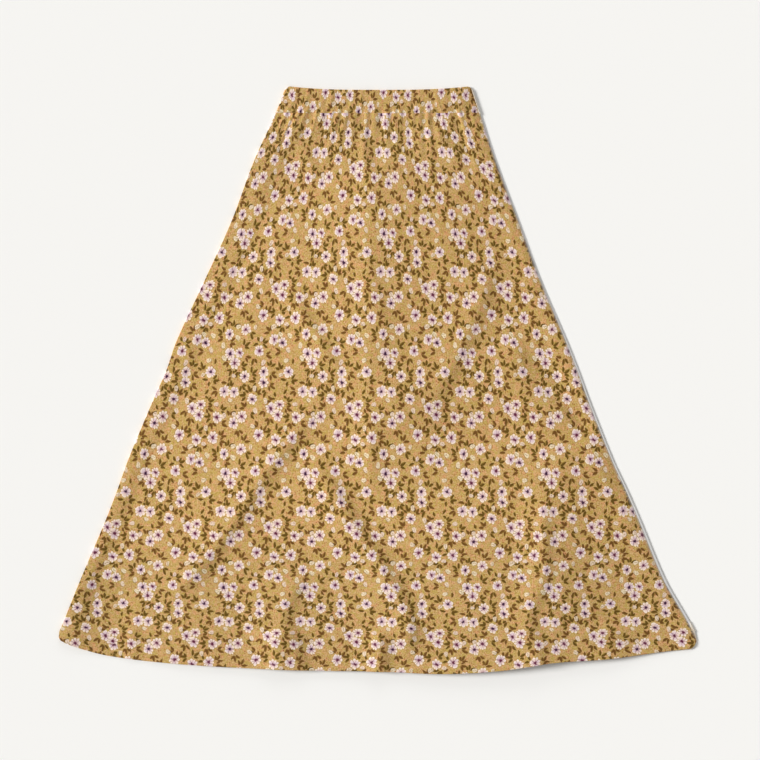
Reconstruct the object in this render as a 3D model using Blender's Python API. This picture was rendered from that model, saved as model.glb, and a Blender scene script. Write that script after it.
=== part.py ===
"""An A-line midi skirt with an elastic waist, laid flat on its back.

A front and a back panel meet at the side seams and are gathered into a waistband
casing of two halves. Each piece is a closed wall of cloth with its true outline. The
back lies flat, and the front lies over it with its soft folds.

Frame: metres, +Z up, +Y towards the waist, +X to the right of someone who looks down
at the front. The origin is under the middle of the skirt, on the surface it lies on.
Heights down the skirt are given as a drop below the waistband's highest corners.
"""

import math
from bisect import bisect_right
from dataclasses import dataclass

import bmesh
import bpy
from mathutils import Vector
from mathutils.geometry import intersect_point_line

CLOTH = 0.0012  # wall of a skirt panel
CASING = 0.0022  # wall of half the waistband: folded cloth and elastic
SEAM_GAP = 0.0003  # clearance where two pieces meet

BAND_DEPTH = 0.038
WAIST_DIP = 0.0055  # how far the waistband's top edge dips at the centre
SEAM_DIP = 0.001  # and how far its lower seam does

BACK_HEM_RISE = 0.003  # the back panel's hem ends this much short of the front's
HEM_CORNER = 0.014  # how far from each hem corner its rounding starts
WAIST_CORNER = 0.005  # and from each upper corner of the waistband

LOFT = 0.0014  # height of the front above the back along its sides
TENT = 0.0016  # added height towards the centre front
SIDE_SLOPE = 0.020  # width over which a side rises to its loft
ROLL_HEIGHT = 0.0018  # ridge of the seam allowance inside each side seam
ROLL_INSET = 0.014
ROLL_WIDTH = 0.010
HEM_SETTLE = 0.45  # share of the loft that is left at the hem
HEM_SLOPE = 0.110
WAIST_LIFT = 0.0016  # height of the front over the back at the waist seam
WAIST_SLOPE = 0.160

RIPPLE_HEIGHT = 0.0010  # of the waistband's gathers
RIPPLE_FADE = 0.06  # share of a half's width over which they fade out at its ends
GATHER_HEIGHT = 0.0012  # of the gathers below the waist seam
GATHER_REACH = 0.120  # the furthest that they run down the front

FRONT_GRID = (52, 28)  # columns across, rows down
BACK_GRID = (26, 14)
BAND_FRONT_GRID = (52, 4)
BAND_BACK_GRID = (26, 3)
CORNER_SEGMENTS = 3


@dataclass(frozen=True)
class Section:
    """Where the front's two side edges lie at one drop below the waist.

    The margin is how far the back panel rolls out past the front's right edge there.
    """

    drop: float
    left: float
    right: float
    margin: float


@dataclass(frozen=True)
class HemPoint:
    """The hem's drop at one place across, from -1 at the left side to 1 at the right."""

    across: float
    drop: float


@dataclass(frozen=True)
class Wave:
    """One of the waves that add up to uneven gathers, over the shares across."""

    rate: float  # radians for a share of 1
    phase: float
    size: float


@dataclass(frozen=True)
class Fold:
    """A soft fold of the front: a crest that rises slowly from its left and falls on its right.

    The run holds (x, drop) points along the crest, from its top end to its lower end. A
    negative height makes a trough.
    """

    name: str
    run: tuple
    height: float
    rise: float
    fall: float


SECTIONS = (
    Section(drop=0.000, left=-0.130, right=0.131, margin=0.0045),
    Section(drop=0.041, left=-0.146, right=0.145, margin=0.004),
    Section(drop=0.106, left=-0.1755, right=0.168, margin=0.002),
    Section(drop=0.192, left=-0.2075, right=0.199, margin=0.004),
    Section(drop=0.277, left=-0.246, right=0.231, margin=0.004),
    Section(drop=0.363, left=-0.286, right=0.264, margin=0.008),
    Section(drop=0.406, left=-0.301, right=0.283, margin=0.006),
    Section(drop=0.449, left=-0.320, right=0.299, margin=0.006),
    Section(drop=0.535, left=-0.356, right=0.333, margin=0.006),
    Section(drop=0.577, left=-0.371, right=0.351, margin=0.008),
    Section(drop=0.621, left=-0.388, right=0.370, margin=0.008),
    Section(drop=0.706, left=-0.424, right=0.408, margin=0.006),
    Section(drop=0.763, left=-0.447, right=0.442, margin=0.005),
    Section(drop=0.805, left=-0.465, right=0.465, margin=0.004),
)

HEM = (
    HemPoint(across=-1.00, drop=0.789),
    HemPoint(across=-0.94, drop=0.800),
    HemPoint(across=-0.81, drop=0.815),
    HemPoint(across=-0.56, drop=0.827),
    HemPoint(across=-0.24, drop=0.834),
    HemPoint(across=0.01, drop=0.836),
    HemPoint(across=0.19, drop=0.839),
    HemPoint(across=0.37, drop=0.834),
    HemPoint(across=0.52, drop=0.8235),
    HemPoint(across=0.70, drop=0.818),
    HemPoint(across=0.89, drop=0.8075),
    HemPoint(across=1.00, drop=0.803),
)

RIPPLE_WAVES = (
    Wave(rate=13.0 * math.pi, phase=0.0, size=1.0),
    Wave(rate=17.0, phase=0.5, size=0.4),
)
GATHER_WAVES = (
    Wave(rate=41.0, phase=1.3, size=1.0),
    Wave(rate=26.0, phase=-0.7, size=0.6),
)
REACH_WAVES = (Wave(rate=11.0, phase=0.0, size=1.0),)  # how unevenly the gathers end

FOLDS = (
    Fold(
        name="centre_crease",
        run=((-0.006, 0.09), (-0.006, 0.35), (-0.004, 0.61)),
        height=0.0030,
        rise=0.055,
        fall=0.016,
    ),
    Fold(
        name="left_diagonal",
        run=((-0.118, 0.46), (-0.168, 0.555), (-0.240, 0.65), (-0.297, 0.72), (-0.328, 0.77)),
        height=0.0060,
        rise=0.070,
        fall=0.022,
    ),
    Fold(
        name="centre_fan",
        run=((-0.075, 0.575), (-0.019, 0.65), (0.016, 0.72), (0.038, 0.785), (0.044, 0.85)),
        height=0.0050,
        rise=0.070,
        fall=0.020,
    ),
    Fold(
        name="right_flare",
        run=((0.227, 0.56), (0.231, 0.635), (0.238, 0.735), (0.220, 0.84)),
        height=0.0060,
        rise=0.060,
        fall=0.020,
    ),
    Fold(
        name="left_flute",
        run=((-0.127, 0.75), (-0.124, 0.85)),
        height=0.0040,
        rise=0.030,
        fall=0.018,
    ),
    Fold(
        name="right_drape",
        run=((0.155, 0.255), (0.134, 0.285), (0.069, 0.42), (0.034, 0.505)),
        height=0.0040,
        rise=0.040,
        fall=0.022,
    ),
    Fold(
        name="left_dimple",
        run=((-0.125, 0.318), (-0.068, 0.418)),
        height=0.0020,
        rise=0.030,
        fall=0.016,
    ),
    Fold(
        name="right_trough",
        run=((0.201, 0.40), (0.258, 0.45), (0.315, 0.505)),
        height=-0.0025,
        rise=0.022,
        fall=0.022,
    ),
)
FOLD_FADE = 0.22  # share of a fold's run over which each free end fades out

MUSTARD = (0.59, 0.37, 0.15, 1.0)  # the printed cloth's ground


def smooth_step(share):
    """0 at or below 0, 1 at or above 1, and a smooth slope between them."""
    share = min(1.0, max(0.0, share))
    return share * share * (3.0 - 2.0 * share)


def read_table(rows, key, column, at):
    """A column's value at a place on the smooth curve through a table's rows."""
    keys = [getattr(row, key) for row in rows]
    values = [getattr(row, column) for row in rows]
    last = len(rows) - 1
    low = min(max(bisect_right(keys, at) - 1, 0), last - 1)

    def slope(index):
        before, after = max(index - 1, 0), min(index + 1, last)
        return (values[after] - values[before]) / (keys[after] - keys[before])

    span = keys[low + 1] - keys[low]
    t = (at - keys[low]) / span
    start, end = slope(low) * span, slope(low + 1) * span
    rest = 1.0 - t
    return (
        (1.0 + 2.0 * t) * rest * rest * values[low]
        + t * rest * rest * start
        + t * t * (3.0 - 2.0 * t) * values[low + 1]
        - t * t * rest * end
    )


def side_edges(drop):
    """The x of the front's left and right edges at a drop."""
    return read_table(SECTIONS, "drop", "left", drop), read_table(SECTIONS, "drop", "right", drop)


def across_at(drop, across):
    """The x at a share across the front, from -1 at its left edge to 1 at its right one."""
    left, right = side_edges(drop)
    return left + (right - left) * (across + 1.0) / 2.0


def hem_drop(across):
    """The hem's drop at a share across."""
    return read_table(HEM, "across", "drop", across)


def waist_dip(across):
    """How the waist's edges dip between the side seams, from 0 at a seam to 1 at the centre."""
    return 1.0 - abs(across) ** 3


def seam_drop(across):
    """The drop of the seam between the waistband and the panels."""
    return BAND_DEPTH + SEAM_DIP * waist_dip(across)


def fold_height(fold, x, drop):
    """How far one fold lifts the front at a point."""
    point = Vector((x, drop))
    run = [Vector(place) for place in fold.run]
    lengths = [(end - start).length for start, end in zip(run, run[1:])]
    nearest, share, offset = math.inf, 0.0, 0.0
    for index, (start, end) in enumerate(zip(run, run[1:])):
        _, along = intersect_point_line(point, start, end)
        along = min(1.0, max(0.0, along))
        gap = point - start.lerp(end, along)
        if gap.length < nearest:
            nearest = gap.length
            share = (sum(lengths[:index]) + along * lengths[index]) / sum(lengths)
            line = end - start
            offset = math.copysign(gap.length, gap.x * line.y - gap.y * line.x)
    width = fold.fall if offset > 0.0 else fold.rise
    fade = smooth_step(share / FOLD_FADE)
    if run[-1].y < HEM[0].drop:  # a fold that ends above the hem fades at that end too
        fade *= smooth_step((1.0 - share) / FOLD_FADE)
    return fold.height * fade * smooth_step(1.0 - nearest / width)


def sum_of_waves(waves, across):
    """The waves' sum at a share across, from -1 to 1."""
    total = sum(wave.size * math.sin(wave.rate * across + wave.phase) for wave in waves)
    return total / sum(wave.size for wave in waves)


def gathers(across, below_seam):
    """Small uneven ridges that the waist seam gathers into the front."""
    ridge = (1.0 + sum_of_waves(GATHER_WAVES, across)) / 2.0
    reach = GATHER_REACH * (3.0 + sum_of_waves(REACH_WAVES, across)) / 4.0
    return GATHER_HEIGHT * ridge * smooth_step(1.0 - below_seam / reach)


def front_lift(x, drop, across):
    """The height of the front panel's underside above the back panel."""
    left, right = side_edges(drop)
    inset = min(x - left, right - x)
    side = smooth_step(inset / SIDE_SLOPE)
    below_seam = drop - seam_drop(across)
    above_hem = hem_drop(across) - drop
    waist = smooth_step(below_seam / WAIST_SLOPE)
    hem = HEM_SETTLE + (1.0 - HEM_SETTLE) * smooth_step(above_hem / HEM_SLOPE)
    body = (LOFT + TENT * (1.0 - across * across)) * waist * hem
    lift = side * (WAIST_LIFT * (1.0 - waist) + body)
    lift += side * (gathers(across, below_seam) + sum(fold_height(fold, x, drop) for fold in FOLDS))
    lift += ROLL_HEIGHT * waist * smooth_step(1.0 - abs(inset - ROLL_INSET) / ROLL_WIDTH)
    return max(0.0, lift)


def front_place(across, down):
    """A point of the front panel's underside, at shares across and down it."""
    top = seam_drop(across) + SEAM_GAP
    drop = top + (hem_drop(across) - top) * down
    x = across_at(drop, across)
    return Vector((x, -drop, CLOTH + SEAM_GAP + front_lift(x, drop, across)))


def roll_out(drop, across):
    """How far a point of the back lies past the front's at the same shares."""
    return read_table(SECTIONS, "drop", "margin", drop) * smooth_step((across - 0.5) / 0.5)


def back_place(across, down):
    """A point of the back panel's underside, which lies flat."""
    top = seam_drop(across) + SEAM_GAP
    drop = top + (hem_drop(across) - BACK_HEM_RISE - top) * down
    return Vector((across_at(drop, across) + roll_out(drop, across), -drop, 0.0))


def band_ripple(across):
    """The height of the waistband's gathers at a share across."""
    ridge = (1.0 + sum_of_waves(RIPPLE_WAVES, across)) / 2.0
    return RIPPLE_HEIGHT * ridge * smooth_step((1.0 - abs(across)) / RIPPLE_FADE)


def band_place(across, down, height):
    """A point of a waistband half's underside at a height, at shares across and down it."""
    top = WAIST_DIP * waist_dip(across)
    drop = top + (seam_drop(across) - top) * down
    return Vector((across_at(drop, across), -drop, height))


def band_front_place(across, down):
    """A point of the front waistband's underside."""
    return band_place(across, down, CASING + SEAM_GAP + band_ripple(across))


def band_back_place(across, down):
    """A point of the back waistband's underside, which lies flat."""
    point = band_place(across, down, 0.0)
    point.x += roll_out(-point.y, across)
    return point


def cloth_material(name, colour):
    """A plain woven finish of one colour."""
    material = bpy.data.materials.new(name)
    material.use_nodes = True
    shader = material.node_tree.nodes["Principled BSDF"]
    shader.inputs["Base Color"].default_value = colour
    shader.inputs["Roughness"].default_value = 0.85
    shader.inputs["Metallic"].default_value = 0.0
    material.diffuse_color = colour
    return material


def cloth_wall(name, grid, place, wall, rounded):
    """A closed wall of cloth over a grid.

    place gives the underside's point at shares across (-1 to 1) and down (0 to 1), wall is
    the thickness, and rounded holds ((across, down), radius) for each corner that is turned.
    """
    columns, rows = grid
    mesh = bmesh.new()
    bmesh.ops.create_grid(mesh, x_segments=columns, y_segments=rows, size=1.0)
    shares = {vert: (vert.co.x, (1.0 - vert.co.y) / 2.0) for vert in mesh.verts}
    corners = []
    for corner, radius in rounded:
        vert = min(shares, key=lambda v: math.dist(shares[v], corner))
        corners.append((vert, radius))
    for vert, (across, down) in shares.items():
        vert.co = place(across, down)
    for vert, radius in corners:
        bmesh.ops.bevel(
            mesh,
            geom=[vert],
            affect="VERTICES",
            offset=radius,
            segments=CORNER_SEGMENTS,
            profile=0.5,
            material=-1,
        )
    bmesh.ops.triangulate(mesh, faces=mesh.faces[:])
    upper = bmesh.ops.extrude_face_region(mesh, geom=mesh.faces[:])["geom"]
    lifted = [part for part in upper if isinstance(part, bmesh.types.BMVert)]
    bmesh.ops.translate(mesh, verts=lifted, vec=(0.0, 0.0, wall))
    bmesh.ops.recalc_face_normals(mesh, faces=mesh.faces[:])
    data = bpy.data.meshes.new(name)
    mesh.to_mesh(data)
    mesh.free()
    data.materials.append(cloth_material(f"{name}_cloth", MUSTARD))
    piece = bpy.data.objects.new(name, data)
    bpy.context.scene.collection.objects.link(piece)
    return piece


def settle_on_origin(pieces):
    """Moves the pieces together, so that the origin is under the middle of their box."""
    points = [vert.co for piece in pieces for vert in piece.data.vertices]
    low = Vector(min(point[axis] for point in points) for axis in range(3))
    high = Vector(max(point[axis] for point in points) for axis in range(3))
    middle = (low + high) / 2.0
    for piece in pieces:
        for vert in piece.data.vertices:
            vert.co -= Vector((middle.x, middle.y, low.z))


def main():
    """Builds the skirt's four sewn pieces."""
    for thing in list(bpy.data.objects):
        bpy.data.objects.remove(thing, do_unlink=True)
    hem_corners = [((side, 1.0), HEM_CORNER) for side in (-1.0, 1.0)]
    waist_corners = [((side, 0.0), WAIST_CORNER) for side in (-1.0, 1.0)]
    pieces = [
        cloth_wall("back_panel", BACK_GRID, back_place, CLOTH, hem_corners),
        cloth_wall("front_panel", FRONT_GRID, front_place, CLOTH, hem_corners),
        cloth_wall("waistband_back", BAND_BACK_GRID, band_back_place, CASING, waist_corners),
        cloth_wall("waistband_front", BAND_FRONT_GRID, band_front_place, CASING, waist_corners),
    ]
    settle_on_origin(pieces)


main()
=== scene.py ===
"""Looks of an A-line midi skirt laid flat: its printed cloth, gathers, folds and hem.

Four sewn pieces stand for the frame's four solids. Each is one net of cloth that lies on
its solid's form, turns over at its edges and carries a ditsy print tossed on one repeat.

Sizes are in metres, apart from the print's, which are in millimetres. A place down the
skirt is its drop below the waistband's highest corners.
"""

import logging
import math
import random
from abc import ABC, abstractmethod
from dataclasses import dataclass, field
from enum import Enum
from typing import Any

import bmesh
import bpy
import numpy as np
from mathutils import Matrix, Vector, noise


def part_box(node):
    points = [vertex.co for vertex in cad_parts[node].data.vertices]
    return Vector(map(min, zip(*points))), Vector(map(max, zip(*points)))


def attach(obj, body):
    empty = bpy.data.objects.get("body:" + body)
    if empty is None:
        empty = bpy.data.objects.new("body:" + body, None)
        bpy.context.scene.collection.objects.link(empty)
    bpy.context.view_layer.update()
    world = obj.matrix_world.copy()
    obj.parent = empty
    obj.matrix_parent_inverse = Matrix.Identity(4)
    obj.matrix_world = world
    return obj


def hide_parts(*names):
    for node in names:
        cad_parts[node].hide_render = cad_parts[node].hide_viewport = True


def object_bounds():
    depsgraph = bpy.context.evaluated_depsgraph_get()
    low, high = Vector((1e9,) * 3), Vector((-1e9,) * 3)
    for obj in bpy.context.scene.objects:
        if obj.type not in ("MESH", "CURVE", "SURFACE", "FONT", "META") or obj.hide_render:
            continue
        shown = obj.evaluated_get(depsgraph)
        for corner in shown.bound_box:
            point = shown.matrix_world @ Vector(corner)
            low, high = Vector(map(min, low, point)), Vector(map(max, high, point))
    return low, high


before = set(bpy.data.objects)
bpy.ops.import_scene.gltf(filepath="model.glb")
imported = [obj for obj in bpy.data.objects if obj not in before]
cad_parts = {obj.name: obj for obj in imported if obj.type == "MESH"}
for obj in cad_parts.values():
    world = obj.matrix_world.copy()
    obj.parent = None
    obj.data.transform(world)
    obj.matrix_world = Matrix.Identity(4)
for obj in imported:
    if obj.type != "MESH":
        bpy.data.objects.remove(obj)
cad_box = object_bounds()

log = logging.getLogger("skirt")

Array = np.ndarray
Colour = tuple[float, float, float, float]
Number = Any  # a Value or a plain number

MM = 0.001
TINY = 1e-9  # keeps a division off zero


# ---------------------------------------------------------------------------------------
# The outline, the creases and the print's repeat
# ---------------------------------------------------------------------------------------


@dataclass(frozen=True)
class Section:
    """Where the front's side edges lie at one drop, and how far the back rolls out past it."""

    drop: float
    left: float
    right: float
    margin: float


@dataclass(frozen=True)
class HemPoint:
    """The hem's drop at one place across, from -1 at the left side to 1 at the right."""

    across: float
    drop: float


SECTIONS = (
    Section(drop=0.000, left=-0.130, right=0.1345, margin=0.0002),
    Section(drop=0.041, left=-0.146, right=0.1480, margin=0.0002),
    Section(drop=0.106, left=-0.1755, right=0.1690, margin=0.0003),
    Section(drop=0.192, left=-0.2075, right=0.2015, margin=0.0005),
    Section(drop=0.277, left=-0.246, right=0.2330, margin=0.0008),
    Section(drop=0.363, left=-0.286, right=0.2690, margin=0.0020),
    Section(drop=0.406, left=-0.301, right=0.2860, margin=0.0022),
    Section(drop=0.449, left=-0.320, right=0.3015, margin=0.0024),
    Section(drop=0.535, left=-0.356, right=0.3355, margin=0.0026),
    Section(drop=0.577, left=-0.371, right=0.3550, margin=0.0030),
    Section(drop=0.621, left=-0.388, right=0.3740, margin=0.0032),
    Section(drop=0.706, left=-0.424, right=0.4095, margin=0.0036),
    Section(drop=0.763, left=-0.447, right=0.4425, margin=0.0034),
    Section(drop=0.805, left=-0.465, right=0.4650, margin=0.0030),
)

HEM = (
    HemPoint(across=-1.00, drop=0.789),
    HemPoint(across=-0.94, drop=0.800),
    HemPoint(across=-0.81, drop=0.815),
    HemPoint(across=-0.56, drop=0.827),
    HemPoint(across=-0.24, drop=0.834),
    HemPoint(across=0.01, drop=0.836),
    HemPoint(across=0.19, drop=0.839),
    HemPoint(across=0.37, drop=0.834),
    HemPoint(across=0.52, drop=0.8235),
    HemPoint(across=0.70, drop=0.818),
    HemPoint(across=0.89, drop=0.8075),
    HemPoint(across=1.00, drop=0.803),
)

PAST_HEM = 0.84  # a run that ends lower than this reaches the hem, so it has no free end there


@dataclass(frozen=True)
class Crease:
    """A soft fold whose crest follows a run of (x, drop) points.

    It rises from its left over one width and falls on its right over another, and softness
    rounds its crest.
    """

    name: str
    run: tuple[tuple[float, float], ...]
    height: float
    rise: float
    fall: float
    softness: float = 0.004
    climb: float = 2.0  # how much steeper the rise is by the crest
    tail: float = 2.0  # and the fall
    fade: tuple[float, float] = (0.22, 0.22)  # shares over which its free ends fade out

    def lift(self, x: Array, drop: Array) -> Array:
        """How far the crease lifts the cloth.

        Args:
            x: places across.
            drop: places down.

        Returns:
            The lift at each place.
        """
        run = np.array(self.run)
        steps = np.diff(run, axis=0)
        lengths = np.hypot(*steps.T)
        starts = np.concatenate(([0.0], np.cumsum(lengths)))
        nearest = np.full(x.shape, np.inf)
        offset, share = np.zeros(x.shape), np.zeros(x.shape)
        for begin, step, length, start in zip(run, steps, lengths, starts):
            gap_x, gap_drop = x - begin[0], drop - begin[1]
            along = np.clip((gap_x * step[0] + gap_drop * step[1]) / length**2, 0.0, 1.0)
            away = np.hypot(gap_x - along * step[0], gap_drop - along * step[1])
            closer = away < nearest
            side = np.sign(gap_x * step[1] - gap_drop * step[0])
            offset = np.where(closer, side * away, offset)
            share = np.where(closer, (start + along * length) / starts[-1], share)
            nearest = np.where(closer, away, nearest)
        falling = offset > 0.0
        eased = np.hypot(nearest, self.softness) - self.softness
        near = np.clip(1.0 - eased / np.where(falling, self.fall, self.rise), 0.0, 1.0)
        profile = near ** np.where(falling, self.tail, self.climb)
        profile *= smooth_step(share / self.fade[0])
        if run[-1][1] < PAST_HEM:
            profile *= smooth_step((1.0 - share) / self.fade[1])
        return self.height * profile


FRONT_CREASES = (
    Crease(
        name="centre_crease",
        run=(
            (-0.0135, 0.085), (-0.0145, 0.130), (-0.0145, 0.240), (-0.0116, 0.330), (-0.0110, 0.450),
            (-0.0090, 0.590),
        ),
        height=0.0031, rise=0.110, climb=2.2, fall=0.190, tail=1.25, softness=0.006, fade=(0.16, 0.16),
    ),
    Crease(
        name="centre_shoulder",
        run=((-0.0160, 0.060), (-0.0150, 0.100), (-0.0080, 0.140), (-0.0050, 0.175)),
        height=0.0007, rise=0.030, fall=0.020, fade=(0.30, 0.30),
    ),
    Crease(
        name="centre_notch",
        run=((-0.012, 0.050), (-0.006, 0.085), (-0.002, 0.130)),
        height=-0.0015, rise=0.013, fall=0.030, fade=(0.20, 0.40),
    ),
    Crease(
        name="centre_branch",
        run=((-0.0159, 0.241), (-0.0116, 0.262), (-0.0016, 0.305), (0.0100, 0.350), (0.0200, 0.382)),
        height=0.0010, rise=0.030, fall=0.018, fade=(0.30, 0.30),
    ),
    Crease(
        name="centre_foot",
        run=((-0.0110, 0.455), (-0.0100, 0.500), (-0.0090, 0.545), (-0.0060, 0.600)),
        height=0.0014, rise=0.030, fall=0.026, fade=(0.35, 0.35),
    ),
    Crease(
        name="left_diagonal",
        run=(
            (-0.0510, 0.408), (-0.0670, 0.432), (-0.0880, 0.462), (-0.1170, 0.497), (-0.1610, 0.555),
            (-0.1970, 0.611), (-0.2290, 0.657), (-0.2590, 0.694), (-0.3050, 0.738),
        ),
        height=0.0036, rise=0.100, fall=0.028, tail=2.8, fade=(0.38, 0.16),
    ),
    Crease(
        name="centre_fan",
        run=(
            (-0.1035, 0.508), (-0.0775, 0.556), (-0.0575, 0.586), (-0.0315, 0.630), (-0.0215, 0.648),
            (-0.0005, 0.672), (0.0215, 0.712), (0.0385, 0.744), (0.0465, 0.772), (0.0445, 0.798),
            (0.0365, 0.818),
        ),
        height=0.0046, rise=0.090, fall=0.024, tail=2.6, fade=(0.26, 0.10),
    ),
    Crease(
        name="right_drape",
        run=(
            (0.163, 0.225), (0.160, 0.260), (0.152, 0.298), (0.136, 0.334), (0.120, 0.370),
            (0.102, 0.408), (0.082, 0.441), (0.076, 0.477), (0.070, 0.510),
        ),
        height=0.0029, rise=0.080, fall=0.026, tail=2.2, fade=(0.26, 0.34),
    ),
    Crease(
        name="drape_foot",
        run=((0.014, 0.395), (0.022, 0.430), (0.026, 0.465), (0.030, 0.510)),
        height=0.0022, rise=0.045, fall=0.060, tail=1.4, softness=0.012, fade=(0.40, 0.40),
    ),
    Crease(
        name="right_flare",
        run=(
            (0.2370, 0.560), (0.2365, 0.610), (0.2375, 0.660), (0.2370, 0.690), (0.2310, 0.718),
            (0.2200, 0.740), (0.2130, 0.760), (0.2170, 0.780), (0.2270, 0.800), (0.2330, 0.850),
        ),
        height=0.0027, rise=0.040, climb=1.5, fall=0.017, tail=1.6, softness=0.003,
    ),
    Crease(
        name="right_fall",
        run=((0.250, 0.480), (0.254, 0.600), (0.250, 0.850)),
        height=0.0066, rise=0.260, climb=1.1, fall=0.140, tail=1.6, softness=0.012,
    ),
    Crease(
        name="right_lobe",
        run=((0.348, 0.580), (0.362, 0.620), (0.374, 0.655)),
        height=0.0011, rise=0.030, fall=0.020, fade=(0.45, 0.45),
    ),
    Crease(
        name="left_flute",
        run=(
            (-0.102, 0.690), (-0.119, 0.720), (-0.131, 0.746), (-0.131, 0.768), (-0.116, 0.800),
            (-0.108, 0.850),
        ),
        height=0.0034, rise=0.060, fall=0.022, tail=2.4, climb=1.2,
    ),
    Crease(
        name="left_hem_fold",
        run=((-0.138, 0.770), (-0.143, 0.800), (-0.143, 0.850)),
        height=0.0030, rise=0.040, fall=0.036,
    ),
    Crease(
        name="left_corner_dip",
        run=((-0.372, 0.690), (-0.364, 0.750), (-0.358, 0.850)),
        height=-0.0030, rise=0.070, climb=1.3, fall=0.110, softness=0.012,
    ),
    Crease(
        name="centre_hem_flute",
        run=((0.003, 0.772), (0.004, 0.810), (0.003, 0.860)),
        height=0.0045, rise=0.034, fall=0.021,
    ),
    Crease(
        name="left_hem_flute",
        run=((-0.345, 0.755), (-0.352, 0.790), (-0.350, 0.850)),
        height=0.0014, rise=0.034, fall=0.018,
    ),
    Crease(
        name="right_hem_swell",
        run=((0.328, 0.760), (0.332, 0.800), (0.334, 0.850)),
        height=0.0024, rise=0.052, climb=1.2, fall=0.060, tail=1.2, softness=0.006,
    ),
    Crease(
        name="right_hem_flute",
        run=((0.392, 0.715), (0.404, 0.850)),
        height=0.0007, rise=0.044, fall=0.024,
    ),
    Crease(
        name="right_trough",
        run=(
            (0.186, 0.388), (0.206, 0.405), (0.240, 0.430), (0.276, 0.462), (0.306, 0.492),
            (0.326, 0.520),
        ),
        height=-0.0028, rise=0.016, fall=0.080, softness=0.003, fade=(0.30, 0.30),
    ),
    Crease(
        name="right_swell",
        run=((0.180, 0.350), (0.206, 0.402), (0.240, 0.428), (0.276, 0.460), (0.300, 0.490)),
        height=0.0026, rise=0.130, climb=1.2, fall=0.016, tail=1.4, softness=0.006, fade=(0.25, 0.30),
    ),
    Crease(
        name="right_rise",
        run=((0.098, 0.110), (0.104, 0.200), (0.100, 0.310)),
        height=0.0013, rise=0.080, climb=1.2, fall=0.080, tail=1.2, softness=0.016, fade=(0.30, 0.30),
    ),
    Crease(
        name="left_hollow",
        run=((-0.104, 0.050), (-0.108, 0.120), (-0.120, 0.190)),
        height=-0.0018, rise=0.050, climb=1.3, fall=0.120, tail=1.2, softness=0.010, fade=(0.16, 0.40),
    ),
    Crease(
        name="left_dimple",
        run=((-0.124, 0.280), (-0.112, 0.315), (-0.096, 0.342), (-0.074, 0.376), (-0.046, 0.420)),
        height=0.0026, rise=0.050, fall=0.017, softness=0.002, fade=(0.30, 0.30),
    ),
    Crease(
        name="right_shoulder",
        run=((0.078, 0.045), (0.090, 0.072), (0.104, 0.095), (0.126, 0.118)),
        height=0.0016, rise=0.030, fall=0.016,
    ),
    Crease(
        name="left_shoulder",
        run=((-0.118, 0.050), (-0.114, 0.072), (-0.099, 0.104), (-0.083, 0.140)),
        height=0.0014, rise=0.026, fall=0.014,
    ),
)

BACK_CREASES = (
    Crease(
        name="back_centre",
        run=((-0.010, 0.12), (-0.008, 0.38), (-0.012, 0.58)),
        height=0.0010, rise=0.050, fall=0.030,
    ),
    Crease(
        name="back_left_diagonal",
        run=((-0.150, 0.53), (-0.236, 0.66), (-0.312, 0.76)),
        height=0.0016, rise=0.060, fall=0.030,
    ),
    Crease(
        name="back_fan",
        run=((-0.030, 0.62), (0.014, 0.72), (0.036, 0.85)),
        height=0.0015, rise=0.060, fall=0.028,
    ),
    Crease(
        name="back_right_flare",
        run=((0.222, 0.58), (0.230, 0.70), (0.212, 0.85)),
        height=0.0016, rise=0.050, fall=0.032,
    ),
    Crease(
        name="back_drape",
        run=((0.140, 0.28), (0.085, 0.42), (0.052, 0.49)),
        height=0.0011, rise=0.036, fall=0.026,
    ),
)


@dataclass(frozen=True)
class Motif:
    """A place on the print's repeat, in millimetres, and a turn that also varies its drawing."""

    across: float
    up: float
    turn: float


@dataclass(frozen=True)
class Toss:
    """How motifs of a kind are tossed round the flowers, in millimetres."""

    count: int
    near: float  # the least distance from a flower's middle
    far: float  # and the most
    stray: float  # how much of a turn a motif may point aside from straight away


CLUSTERS = (3, 3, 2, 2, 2, 2, 1, 1, 1, 1, 1, 1, 1, 1, 1, 1)  # flowers in each
CLUSTER_TRIES = 300  # places tried for a cluster's first flower
CLUSTER_STEP = (13.0, 14.6)  # distance from it to the others
CLUSTER_ANGLE = math.pi / 3.0  # between the others
FANS = Toss(count=60, near=9.0, far=15.0, stray=0.14)
BUDS = Toss(count=24, near=9.0, far=17.0, stray=0.5)
MOTIF_TRIES = 14  # places tried for a fan or a bud
FLOWER_ROOM, FAN_ROOM, BUD_ROOM = 8.6, 5.2, 6.0  # what each kind needs round its middle


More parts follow.
